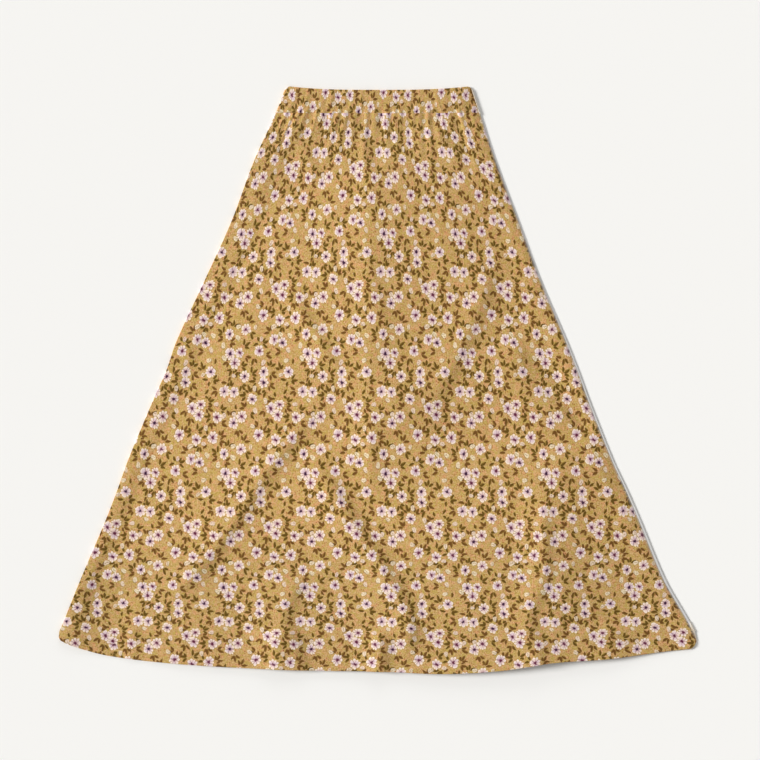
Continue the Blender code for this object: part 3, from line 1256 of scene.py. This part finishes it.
class Value:
    """A number that varies over a surface: a socket with Python's operators."""

    def __init__(self, shader: "Shader", socket: bpy.types.NodeSocket) -> None:
        """Wraps a socket of a shader."""
        self.shader = shader
        self.socket = socket

    def maths(self, operation: str, *others: Number, clamp: bool = False) -> "Value":
        """Adds a Math node.

        Args:
            operation: what the node does.
            others: its second and third numbers.
            clamp: whether the result is held between 0 and 1.

        Returns:
            The result.
        """
        settings = {"operation": operation, "use_clamp": clamp}
        sockets = dict(enumerate((self, *others)))
        return Value(self.shader, self.shader.node("ShaderNodeMath", settings, sockets).outputs[0])

    def __add__(self, other: Number) -> "Value":
        """Their sum."""
        return self.maths("ADD", other)

    __radd__ = __add__

    def __sub__(self, other: Number) -> "Value":
        """This less the other."""
        return self.maths("SUBTRACT", other)

    def __rsub__(self, other: float) -> "Value":
        """The other less this."""
        return (self * -1.0) + other

    def __mul__(self, other: Number) -> "Value":
        """Their product."""
        return self.maths("MULTIPLY", other)

    __rmul__ = __mul__

    def __truediv__(self, other: Number) -> "Value":
        """This over the other."""
        return self.maths("DIVIDE", other)

    def __lt__(self, other: Number) -> "Value":
        """1 where this is less than the other."""
        return self.maths("LESS_THAN", other)

    def __gt__(self, other: Number) -> "Value":
        """1 where this is more than the other."""
        return self.maths("GREATER_THAN", other)

    def ramp(self, low: float, high: float) -> "Value":
        """A smooth step from 0 at the low value to 1 at the high one; they may be swapped."""
        node = self.shader.node(
            "ShaderNodeMapRange",
            {"interpolation_type": "SMOOTHSTEP", "clamp": True},
            {"Value": self, "From Min": low, "From Max": high},
        )
        return Value(self.shader, node.outputs[0])

    def fraction(self, times: float) -> "Value":
        """A second random number from this one: the fraction of some times it."""
        return (self * times).maths("FRACT")


class Shader:
    """A material's nodes."""

    def __init__(self, name: str) -> None:
        """Starts a material with a Principled shader."""
        self.material = bpy.data.materials.new(name)
        self.material.use_nodes = True
        self.tree = self.material.node_tree
        self.surface = self.tree.nodes["Principled BSDF"]

    def node(self, kind: str, settings: dict[str, Any], sockets: dict[Any, Any]) -> bpy.types.Node:
        """Adds a node.

        Args:
            kind: the node's type.
            settings: its own properties, set first.
            sockets: values or links, by a socket's name or number.

        Returns:
            The node.
        """
        node = self.tree.nodes.new(kind)
        for key, setting in settings.items():
            setattr(node, key, setting)
        for key, value in sockets.items():
            self.feed(node.inputs[key], value)
        return node

    def feed(self, socket: bpy.types.NodeSocket, value: Any) -> None:
        """Links a Value or a socket to a socket, or sets a plain value on it."""
        if isinstance(value, Value):
            self.tree.links.new(value.socket, socket)
        elif isinstance(value, bpy.types.NodeSocket):
            self.tree.links.new(value, socket)
        else:
            socket.default_value = value

    def vector(self, operation: str, *parts: Any) -> bpy.types.NodeSocket:
        """A Vector Math node's vector."""
        node = self.node("ShaderNodeVectorMath", {"operation": operation}, dict(enumerate(parts)))
        return node.outputs["Vector"]

    def length(self, vector: bpy.types.NodeSocket) -> Value:
        """A vector's length."""
        node = self.node("ShaderNodeVectorMath", {"operation": "LENGTH"}, {0: vector})
        return Value(self, node.outputs["Value"])

    def parts(self, vector: bpy.types.NodeSocket) -> tuple[Value, Value, Value]:
        """A vector's three numbers."""
        node = self.node("ShaderNodeSeparateXYZ", {}, {0: vector})
        return tuple(Value(self, socket) for socket in node.outputs)

    def mix(self, share: Number, first: Any, second: Any, blend: str = "MIX") -> Any:
        """A colour between two, or their blend of a kind."""
        settings = {"data_type": "RGBA", "blend_type": blend}
        return self.node("ShaderNodeMix", settings, {0: share, 6: first, 7: second}).outputs[2]

    def mix_vector(self, share: Number, first: Any, second: Any) -> Any:
        """A vector between two."""
        return self.node(
            "ShaderNodeMix", {"data_type": "VECTOR"}, {0: share, 4: first, 5: second}
        ).outputs[1]

    def noise(self, vector: Any, scale: float, detail: float = 2.0) -> Value:
        """Smooth random numbers about 0.5."""
        sockets = {"Vector": vector, "Scale": scale, "Detail": detail, "Roughness": 0.55}
        node = self.node("ShaderNodeTexNoise", {"noise_dimensions": "3D"}, sockets)
        return Value(self, node.outputs[0])

    def noise_vector(self, vector: Any, scale: float) -> bpy.types.NodeSocket:
        """Three smooth random numbers about 0.5."""
        sockets = {"Vector": vector, "Scale": scale, "Detail": 1.0}
        return self.node("ShaderNodeTexNoise", {"noise_dimensions": "3D"}, sockets).outputs[1]

    def cloth_point(self) -> bpy.types.NodeSocket:
        """The place on the flat cloth, in millimetres."""
        place = self.node("ShaderNodeUVMap", {"uv_map": "cloth"}, {}).outputs[0]
        return self.vector("MULTIPLY", place, (1.0 / MM, 1.0 / MM, 0.0))

    def object_point(self) -> bpy.types.NodeSocket:
        """The place in the frame, in metres; y runs from the hem towards the waist."""
        return self.node("ShaderNodeTexCoord", {}, {}).outputs["Object"]

    def attribute(self, name: str) -> Value:
        """A number that the mesh carries."""
        node = self.node("ShaderNodeAttribute", {"attribute_name": name}, {})
        return Value(self, node.outputs["Fac"])

    def finish(
        self, colour: Any, roughness: Number, height: Value, bump: float, specular: float
    ) -> None:
        """Feeds the surface.

        Args:
            colour: its base colour.
            roughness: its roughness.
            height: the height of its relief.
            bump: how deep that relief is, in metres.
            specular: how strongly it mirrors.
        """
        sockets = {"Strength": 1.0, "Distance": bump, "Height": height}
        relief = self.node("ShaderNodeBump", {}, sockets)
        self.feed(self.surface.inputs["Base Color"], colour)
        self.feed(self.surface.inputs["Roughness"], roughness)
        self.feed(self.surface.inputs["Normal"], relief.outputs[0])
        self.feed(self.surface.inputs["Specular IOR Level"], specular)


# ---------------------------------------------------------------------------------------
# Finishes
# ---------------------------------------------------------------------------------------


@dataclass(frozen=True)
class Mottle:
    """Soft patches of a colour."""

    colour: Colour
    size: float  # in millimetres
    low: float  # the noise at which a patch begins
    high: float  # and at which it is full
    strength: float
    detail: float = 2.0
    shift: tuple[float, float, float] | None = None  # to another part of the noise

    def grain(self, shader: Shader, point: Any) -> Value:
        """The noise that the patches come from."""
        if self.shift:
            point = shader.vector("ADD", point, self.shift)
        return shader.noise(point, 1.0 / self.size, self.detail)

    def over(self, shader: Shader, grain: Value, colour: Any) -> Any:
        """A colour with the patches over it."""
        return shader.mix(grain.ramp(self.low, self.high) * self.strength, colour, self.colour)


@dataclass(frozen=True)
class Spot:
    """Where a point of the cloth is, seen from the nearest motif of a kind."""

    radius: Value  # in millimetres
    angle: Value  # within half a turn either way, from the motif's own direction
    turn: Value  # the motif's turn, from 0 to 1

    def from_point(self, along: float, aside: float) -> tuple[Value, Value]:
        """Its offset from a point beside the motif."""
        x = self.radius * self.angle.maths("COSINE") - along
        return x, self.radius * self.angle.maths("SINE") - aside


@dataclass(frozen=True)
class DitsyPrint:
    """Small flowers, leaf sprigs and buds, scattered on one repeat over a mottled ground."""

    repeat: Repeat = Repeat(wide=117.0, tall=152.0, seed=13)
    ground: Colour = dye(200, 162, 97)
    peach: Mottle = Mottle(dye(218, 156, 105), size=8.0, low=0.44, high=0.62, strength=0.8)
    gold: Mottle = Mottle(
        dye(191, 162, 78), size=6.0, low=0.44, high=0.62, strength=0.9, shift=(31.0, 47.0, 5.0)
    )
    pale: Mottle = Mottle(dye(218, 186, 140), size=2.0, low=0.46, high=0.70, strength=0.70)
    speck: Colour = dye(158, 74, 40)
    leaf: Colour = dye(97, 71, 15)
    leaf_brown: Colour = dye(109, 71, 26)
    leaf_edge: Colour = dye(158, 125, 55)
    bud: Colour = dye(243, 227, 188)
    bud_pink: Colour = dye(236, 208, 192)
    bud_line: Colour = dye(160, 122, 86)
    petal: Colour = dye(232, 204, 192)
    petal_base: Colour = dye(218, 180, 178)
    petal_tip: Colour = dye(247, 229, 207)
    petal_lilac: Colour = dye(216, 192, 206)
    petal_line: Colour = dye(146, 100, 112)
    heart: Colour = dye(56, 26, 54)
    heart_plum: Colour = dye(96, 34, 58)
    outline: Colour = dye(140, 106, 62)
    vein: Mottle = Mottle(  # its low and high are distances from the noise's middle
        dye(146, 104, 52), size=2.8, low=0.065, high=0.0, strength=0.7, shift=(11.0, 7.0, 3.0)
    )
    vein_gaps: tuple[float, float] = (0.62, 0.42)  # of the pale patches, where the veins end
    speck_spacing: float = 3.1
    speck_least: float = 0.40  # share of the specks that are too small to show
    speck_growth: float = 0.50  # how fast the others' size grows, in spacings
    speck_strength: float = 0.70
    flower_size: float = 8.0
    petals: int = 8
    petal_sway: tuple[float, float] = (0.20, 0.13)  # how unevenly they spread
    petal_uneven: float = 0.20  # how much they differ in length
    petal_notch: float = 0.29  # how far the gaps between them cut in
    heart_size: float = 1.35
    heart_uneven: float = 1.6
    heart_lobes: float = 0.35
    bud_size: float = 3.5
    bud_oval: float = 0.18
    bud_lobes: float = 0.07
    stalk: float = 4.6  # how far a fan's leaves start from its middle, in millimetres
    opening: float = 0.78  # angle between a fan's middle leaf and its sides, in radians
    middle_leaf: tuple[float, float] = (9.4, 2.30)  # length and half-width
    side_leaf: tuple[float, float] = (8.6, 2.10)
    leaf_stem: float = 1.7  # bare stalk before a leaf
    leaf_belly: float = 0.85  # under 1, the widest part is nearer the stalk
    leaf_trim: float = 0.25
    middle_missing: float = 0.16  # share of the fans without a middle leaf
    side_missing: float = 0.14  # share of side leaves left out
    wander: float = 1.6  # how far the drawing's edges stray, as a hand's would

    def nearest(self, shader: Shader, point: Any, motifs: list[Motif]) -> Spot:
        """Where a point is from the nearest motif.

        Args:
            shader: the nodes.
            point: the place on the flat cloth, in millimetres.
            motifs: the motifs of one kind on the repeat.

        Returns:
            The spot, with that motif's turn.
        """
        wide, tall = self.repeat.wide / 2.0, self.repeat.tall / 2.0
        best, reach = None, None
        for motif in motifs:
            high, low = (wide, tall, motif.turn), (-wide, -tall, motif.turn)
            offset = shader.vector("SUBTRACT", point, (motif.across, motif.up, 0.0))
            offset = shader.vector("WRAP", offset, high, low)
            away = shader.length(offset)
            if best is None:
                best, reach = offset, away
                continue
            best = shader.mix_vector(away < reach, best, offset)
            reach = away.maths("MINIMUM", reach)
        x, y, turn = shader.parts(best)
        swung = y.maths("ARCTAN2", x) - turn * math.tau
        return Spot((x * x + y * y).maths("SQRT"), swung.maths("WRAP", math.pi, -math.pi), turn)

    def draw_ground(self, shader: Shader, point: Any) -> Any:
        """The ground's mottle, its veins and its tiny specks, as a colour."""
        colour = self.peach.over(shader, self.peach.grain(shader, point), self.ground)
        colour = self.gold.over(shader, self.gold.grain(shader, point), colour)
        grain = self.pale.grain(shader, point)
        colour = self.pale.over(shader, grain, colour)
        vein = self.vein
        run = (vein.grain(shader, point) - 0.5).maths("ABSOLUTE").ramp(vein.low, vein.high)
        run = run * grain.ramp(*self.vein_gaps)
        colour = shader.mix(run * vein.strength, colour, vein.colour)
        dots = shader.node(
            "ShaderNodeTexVoronoi",
            {"voronoi_dimensions": "2D"},
            {"Vector": point, "Scale": 1.0 / self.speck_spacing, "Randomness": 1.0},
        )
        size, _, _ = shader.parts(dots.outputs["Color"])
        reach = (size - self.speck_least) * self.speck_growth
        dot = Value(shader, dots.outputs["Distance"]) < reach
        return shader.mix(dot * self.speck_strength, colour, self.speck)

    def draw_leaf(
        self,
        shader: Shader,
        colour: Any,
        spot: Spot,
        along: Value,
        aside: Value,
        size: tuple[Value, float, Value],
    ) -> Any:
        """A pointed leaf over a colour, lighter along one side.

        Args:
            shader: the nodes.
            colour: what lies under it.
            spot: the place, seen from its fan.
            along: the place along the leaf, from its fan's stalk.
            aside: the place beside it.
            size: the leaf's length, half-width and whether it is there.

        Returns:
            The colour with the leaf.
        """
        length, half_width, there = size
        share = ((along - self.leaf_stem) / length).maths("ADD", 0.0, clamp=True)
        share = share.maths("POWER", self.leaf_belly)
        belly = share * (1.0 - share) * 4.0
        inside = belly * half_width - aside.maths("ABSOLUTE") - self.leaf_trim
        tone = shader.mix(spot.turn.fraction(5.1).ramp(0.45, 0.75), self.leaf, self.leaf_brown)
        tone = shader.mix(aside.ramp(0.2, 1.6) * 0.7, tone, self.leaf_edge)
        return shader.mix(inside.ramp(-0.60, 0.35) * there, colour, tone)

    def draw_fan(self, shader: Shader, colour: Any, spot: Spot) -> Any:
        """Up to three leaves over a colour, spread from one stalk."""
        x, y = spot.from_point(-self.stalk, 0.0)
        upper = y > 0.0
        beside = y.maths("ABSOLUTE")
        varied = (spot.turn * 17.3 + upper * 0.37).maths("FRACT")
        angle = self.opening * (varied * 0.5 + 0.78)
        cosine, sine = angle.maths("COSINE"), angle.maths("SINE")
        along, aside = x * cosine + beside * sine, beside * cosine - x * sine
        longer = spot.turn.fraction(9.7)
        reach, half_width = self.side_leaf
        side = ((varied * 0.45 + 0.70) * reach, half_width, varied > self.side_missing)
        colour = self.draw_leaf(shader, colour, spot, along, aside, side)
        reach, half_width = self.middle_leaf
        middle = ((longer * 0.40 + 0.80) * reach, half_width, longer > self.middle_missing)
        return self.draw_leaf(shader, colour, spot, x, y, middle)

    def draw_bud(self, shader: Shader, colour: Any, spot: Spot, blot: Value) -> Any:
        """A small soft bud over a colour, folded down its middle.

        Args:
            shader: the nodes.
            colour: what lies under it.
            spot: the place, seen from the bud.
            blot: fine smooth random numbers, about 0.5.

        Returns:
            The colour with the bud.
        """
        oval = (spot.angle * 2.0).maths("COSINE")
        lobes = (spot.angle * 3.0 + spot.turn * 40.0).maths("SINE")
        size = (spot.turn.fraction(13.1) * 0.30 + 0.74) * self.bud_size
        edge = (oval * self.bud_oval + lobes * self.bud_lobes + 1.0) * size - spot.radius
        tone = shader.mix(spot.turn.fraction(5.7), self.bud, self.bud_pink)
        fold = (spot.radius * spot.angle.maths("SINE") + lobes * 0.5).maths("ABSOLUTE")
        line = (fold.ramp(0.70, 0.15) * 0.6 + blot.ramp(0.50, 0.62)).maths("MINIMUM", 1.0)
        tone = shader.mix(line * edge.ramp(0.0, 1.0) * 0.75, tone, self.bud_line)
        shaded = (spot.angle + spot.turn * 9.0).maths("COSINE").ramp(0.1, 0.9)
        colour = shader.mix(edge.ramp(-1.2, -0.2) * shaded * 0.65, colour, self.leaf)
        return shader.mix(edge.ramp(-0.4, 0.5) * 0.94, colour, tone)

    def draw_flower(self, shader: Shader, colour: Any, spot: Spot) -> Any:
        """A flower over a colour: uneven notched petals with lines between, and a dark heart."""
        step = math.tau / self.petals
        broad, fine = self.petal_sway
        sway = (spot.angle * 2.0 + spot.turn * 31.0).maths("SINE") * broad
        sway = sway + (spot.angle * 3.0 + spot.turn * 53.0).maths("SINE") * fine
        place = (spot.angle + sway) / step
        number = place.maths("ROUND").maths("WRAP", self.petals / 2.0, -self.petals / 2.0)
        off = (place - place.maths("ROUND")).maths("ABSOLUTE") * 2.0
        seed = shader.node("ShaderNodeCombineXYZ", {}, {0: number, 1: spot.turn * 57.0}).outputs[0]
        white = shader.node("ShaderNodeTexWhiteNoise", {"noise_dimensions": "2D"}, {"Vector": seed})
        reach, mark, flush = shader.parts(white.outputs["Color"])
        size = (spot.turn.fraction(7.3) * 0.14 + 0.90) * self.flower_size
        notch = off.maths("POWER", 1.8) * self.petal_notch
        edge = (reach * self.petal_uneven + 0.90 - notch) * size
        share = spot.radius / edge
        tone = shader.mix(share.ramp(0.20, 0.55), self.petal_base, self.petal)
        tone = shader.mix(share.ramp(0.60, 0.95), tone, self.petal_tip)
        tone = shader.mix(flush.ramp(0.55, 0.80) * share.ramp(1.0, 0.6) * 0.6, tone, self.petal_lilac)
        gap = (1.0 - off) * (step / 2.0) * spot.radius
        line = gap.ramp(0.90, 0.15) * mark.ramp(0.05, 0.45) * share.ramp(1.05, 0.85)
        tone = shader.mix(line * 0.85, tone, self.petal_line)
        heart = mark * self.heart_uneven + self.heart_size
        heart = heart * (1.0 - off * self.heart_lobes) - spot.radius
        tone = shader.mix(heart.ramp(-1.3, 0.1) * 0.55, tone, self.petal_line)
        pip = shader.mix(spot.turn.fraction(3.9).ramp(0.4, 0.6), self.heart, self.heart_plum)
        tone = shader.mix(heart.ramp(-0.45, 0.35), tone, pip)
        rim = (edge - spot.radius).ramp(-1.3, -0.2) * mark.ramp(0.3, 0.6)
        colour = shader.mix(rim * 0.55, colour, self.outline)
        return shader.mix((edge - spot.radius).ramp(-0.25, 0.45), colour, tone)

    def draw(self, shader: Shader, point: Any) -> Any:
        """The whole print.

        Args:
            shader: the nodes.
            point: the place on the flat cloth, in millimetres.

        Returns:
            The print's colour.
        """
        drift = shader.vector("SUBTRACT", shader.noise_vector(point, 1.0 / 3.2), (0.5, 0.5, 0.5))
        drift = shader.vector("MULTIPLY", drift, (self.wander, self.wander, 0.0))
        point = shader.vector("ADD", point, drift)
        colour = self.draw_ground(shader, point)
        colour = self.draw_fan(shader, colour, self.nearest(shader, point, self.repeat.fans))
        blot = shader.noise(point, 1.0 / 1.5, 1.0)
        bud = self.nearest(shader, point, self.repeat.buds)
        colour = self.draw_bud(shader, colour, bud, blot)
        return self.draw_flower(shader, colour, self.nearest(shader, point, self.repeat.flowers))


@dataclass(frozen=True)
class Weave:
    """A plain weave's threads, in millimetres, and the soft crinkle of washed cloth."""

    pitch: float = 0.62
    slub: float = 0.28  # how much the threads' shade varies
    crinkle: float = 4.5
    relief: float = 0.00012  # in metres
    thread_relief: float = 0.12  # share of it that the threads have
    thread_scale: tuple[float, float] = (1.4, 0.12)  # of the slubs, across a thread and along it

    def height(self, shader: Shader, point: Any) -> Value:
        """The relief of threads and crinkle, from 0 to about 1."""
        across, up, _ = shader.parts(point)
        warp = (across * (math.tau / self.pitch)).maths("SINE")
        weft = (up * (math.tau / self.pitch)).maths("SINE")
        threads = warp * weft * self.thread_relief
        return threads + shader.noise(point, 1.0 / self.crinkle, 3.0)

    def heather(self, shader: Shader, point: Any, colour: Any) -> Any:
        """A colour with the threads' slight unevenness."""
        thin, long = self.thread_scale
        warp = shader.noise(shader.vector("MULTIPLY", point, (thin, long, 1.0)), 1.0, 1.0)
        weft = shader.noise(shader.vector("MULTIPLY", point, (long, thin, 1.0)), 1.0, 1.0)
        level = (warp + weft - 1.0) * self.slub + 1.0
        shade = shader.node("ShaderNodeCombineColor", {}, {0: level, 1: level, 2: level}).outputs[0]
        return shader.mix(1.0, colour, shade, "MULTIPLY")


@dataclass(frozen=True)
class PrintedCloth:
    """The cloth's printed face, bare where the attribute says so, with painted shade that darkens it
    by the waist and by the hem.
    """

    design: DitsyPrint = DitsyPrint()
    weave: Weave = Weave()
    bare: Colour = dye(204, 202, 199)
    tone: Colour = dye(250, 251, 253)  # painted shade: multiplies the colour by the waist and by the hem, to darken it there
    waist_painted_shade: tuple[float, float] = (0.20, 0.36)  # y at which it begins, and at which it is full
    hem_painted_shade: tuple[float, float] = (-0.20, -0.28)
    roughness: float = 0.86
    unevenness: float = 0.06
    sheen: float = 0.06
    sheen_roughness: float = 0.5
    specular: float = 0.2

    def material(self) -> bpy.types.Material:
        """Makes the material."""
        shader = Shader("printed_cloth")
        point = shader.cloth_point()
        colour = self.design.draw(shader, point)
        colour = shader.mix(shader.attribute("bare"), colour, self.bare)
        colour = self.weave.heather(shader, point, colour)
        # painted shade: the colour is darkened towards the waist and towards the hem
        _, up, _ = shader.parts(shader.object_point())
        painted_shade_share = up.ramp(*self.waist_painted_shade) + up.ramp(*self.hem_painted_shade)
        colour = shader.mix(painted_shade_share, colour, self.tone, "MULTIPLY")
        height = self.weave.height(shader, point)
        roughness = height * self.unevenness + self.roughness
        shader.finish(colour, roughness, height, self.weave.relief, self.specular)
        shader.feed(shader.surface.inputs["Sheen Weight"], self.sheen)
        shader.feed(shader.surface.inputs["Sheen Roughness"], self.sheen_roughness)
        return shader.material


@dataclass(frozen=True)
class WrongSide:
    """The cloth's wrong side: the ground's pale reverse, with a faint mottle."""

    weave: Weave = Weave()
    ground: Colour = dye(222, 198, 150)
    dark: Mottle = Mottle(
        dye(190, 164, 112), size=5.0, low=0.52, high=0.62, strength=0.6, detail=1.0
    )
    light: Mottle = Mottle(
        dye(232, 220, 204), 8.0, 0.56, 0.64, 0.7, detail=1.0, shift=(60.0, 20.0, 9.0)
    )
    roughness: float = 0.9
    unevenness: float = 0.05
    specular: float = 0.2

    def material(self) -> bpy.types.Material:
        """Makes the material."""
        shader = Shader("wrong_side")
        point = shader.cloth_point()
        colour = self.dark.over(shader, self.dark.grain(shader, point), self.ground)
        colour = self.light.over(shader, self.light.grain(shader, point), colour)
        colour = self.weave.heather(shader, point, colour)
        height = self.weave.height(shader, point)
        roughness = height * self.unevenness + self.roughness
        shader.finish(colour, roughness, height, self.weave.relief, self.specular)
        return shader.material


@dataclass(frozen=True)
class PaleFloor:
    """A plain matt floor of near-white card."""

    colour: Colour = dye(243, 242, 239)
    grain_scale: float = 900.0
    relief: float = 0.00002
    roughness: float = 0.9
    unevenness: float = 0.05
    specular: float = 0.1

    def material(self) -> bpy.types.Material:
        """Makes the material."""
        shader = Shader("pale_floor")
        grain = shader.noise(shader.object_point(), self.grain_scale, 2.0)
        roughness = grain * self.unevenness + self.roughness
        shader.finish(self.colour, roughness, grain, self.relief, self.specular)
        return shader.material


# ---------------------------------------------------------------------------------------
# The skirt and its studio
# ---------------------------------------------------------------------------------------


class Skirt:
    """The whole skirt: its four sewn pieces and its finishes."""

    HEM_SAMPLES = 2001  # places at which the hem's drop is tried for its lowest

    def __init__(self) -> None:
        """Lists the pieces, from the floor up."""
        self.pieces = (BackPanel(), waistband_back(), FrontPanel(), waistband_front())
        self.rests_on = {
            "back_cloth": ["floor"],
            "back_band": ["floor"],
            "front_cloth": ["back_cloth"],
            "front_band": ["back_band"],
        }

    def origin(self) -> Vector:
        """The frame's place for x 0 and drop 0, from the front panel's solid."""
        low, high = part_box("front_panel")
        outline = Outline()
        across = np.linspace(-1.0, 1.0, self.HEM_SAMPLES)
        drop = outline.hem.at(across)
        deepest = float(drop.max())
        left = float(outline.left.at(drop[:1])[0])
        right = float(outline.right.at(drop[-1:])[0])
        middle = (low + high) / 2.0
        return Vector((middle.x - (left + right) / 2.0, low.y + deepest, 0.0))

    def build(self) -> list[bpy.types.Object]:
        """Makes every piece, attaches it to the root body and hides its solid."""
        materials = [PrintedCloth().material(), WrongSide().material()]
        origin = self.origin()
        log.info("origin %s", tuple(round(part, 5) for part in origin))
        made = []
        for piece in self.pieces:
            thing = piece.build(origin, materials)
            piece.declare(thing, self.rests_on[piece.name])
            log.info("%s: %d faces", thing.name, len(thing.data.polygons))
            made.append(thing)
        return made


@dataclass(frozen=True)
class Sun:
    """A soft distant light."""

    name: str
    energy: float
    elevation: float  # degrees above the floor
    bearing: float  # degrees from +X towards +Y, where the light comes from
    angle: float  # degrees across the light

    def hang(self) -> None:
        """Adds the light."""
        lamp = bpy.data.lights.new(self.name, "SUN")
        lamp.energy = self.energy
        lamp.angle = math.radians(self.angle)
        light = add_to_scene(self.name, lamp)
        bearing, elevation = math.radians(self.bearing), math.radians(self.elevation)
        level = math.cos(elevation)
        source = Vector((math.cos(bearing) * level, math.sin(bearing) * level, math.sin(elevation)))
        light.rotation_euler = source.to_track_quat("Z", "Y").to_euler()


@dataclass(frozen=True)
class Studio:
    """A pale floor, soft light from the upper left and a camera that looks straight down."""

    floor_size: float = 40.0
    floor_squares: int = 8
    view_width: float = 1.0868
    lens: float = 85.0
    sensor: float = 36.0
    key: Sun = Sun(name="key", energy=4.65, elevation=22.0, bearing=172.0, angle=16.0)
    top: Sun = Sun(name="top", energy=0.52, elevation=20.0, bearing=86.0, angle=20.0)
    sky: float = 0.41
    horizon: float = 0.60
    horizon_band: tuple[float, float] = (0.05, 0.30)  # over which one becomes the other
    sky_colour: Colour = (1.0, 0.995, 0.985, 1.0)

    def build(self) -> None:
        """Makes the floor, the lights and the camera."""
        self.lay_floor()
        self.key.hang()
        self.top.hang()
        self.sky_light()
        self.place_camera()
        bpy.context.scene.view_settings.view_transform = "Standard"

    def lay_floor(self) -> None:
        """Makes the floor."""
        mesh = bmesh.new()
        squares, half = self.floor_squares, self.floor_size / 2.0
        bmesh.ops.create_grid(mesh, x_segments=squares, y_segments=squares, size=half)
        data = bpy.data.meshes.new("floor")
        mesh.to_mesh(data)
        mesh.free()
        data.materials.append(PaleFloor().material())
        floor = add_to_scene("floor", data)

    def sky_light(self) -> None:
        """Fills from all round, with a brighter band at the horizon."""
        world = bpy.data.worlds.new("sky")
        world.use_nodes = True
        tree = world.node_tree
        place = tree.nodes.new("ShaderNodeTexCoord")
        split = tree.nodes.new("ShaderNodeSeparateXYZ")
        fade = tree.nodes.new("ShaderNodeMapRange")
        fade.interpolation_type = "SMOOTHSTEP"
        tree.links.new(place.outputs["Generated"], split.inputs[0])
        tree.links.new(split.outputs["Z"], fade.inputs["Value"])
        names = ("From Min", "From Max", "To Min", "To Max")
        for name, value in zip(names, (*self.horizon_band, self.horizon, self.sky)):
            fade.inputs[name].default_value = value
        background = tree.nodes["Background"]
        background.inputs["Color"].default_value = self.sky_colour
        tree.links.new(fade.outputs[0], background.inputs["Strength"])
        bpy.context.scene.world = world

    def place_camera(self) -> None:
        """Hangs the camera over the skirt's middle."""
        low, high = cad_box
        middle = (low + high) / 2.0
        data = bpy.data.cameras.new("camera")
        data.lens = self.lens
        data.sensor_width = self.sensor
        camera = add_to_scene("camera", data)
        away = self.view_width * self.lens / self.sensor
        camera.location = (middle.x, middle.y, away)
        bpy.context.scene.camera = camera


def main() -> None:
    """Builds the skirt and its studio."""
    logging.basicConfig(level=logging.INFO, format="%(name)s: %(message)s")
    Skirt().build()
    Studio().build()


if __name__ == "__main__":
    main()
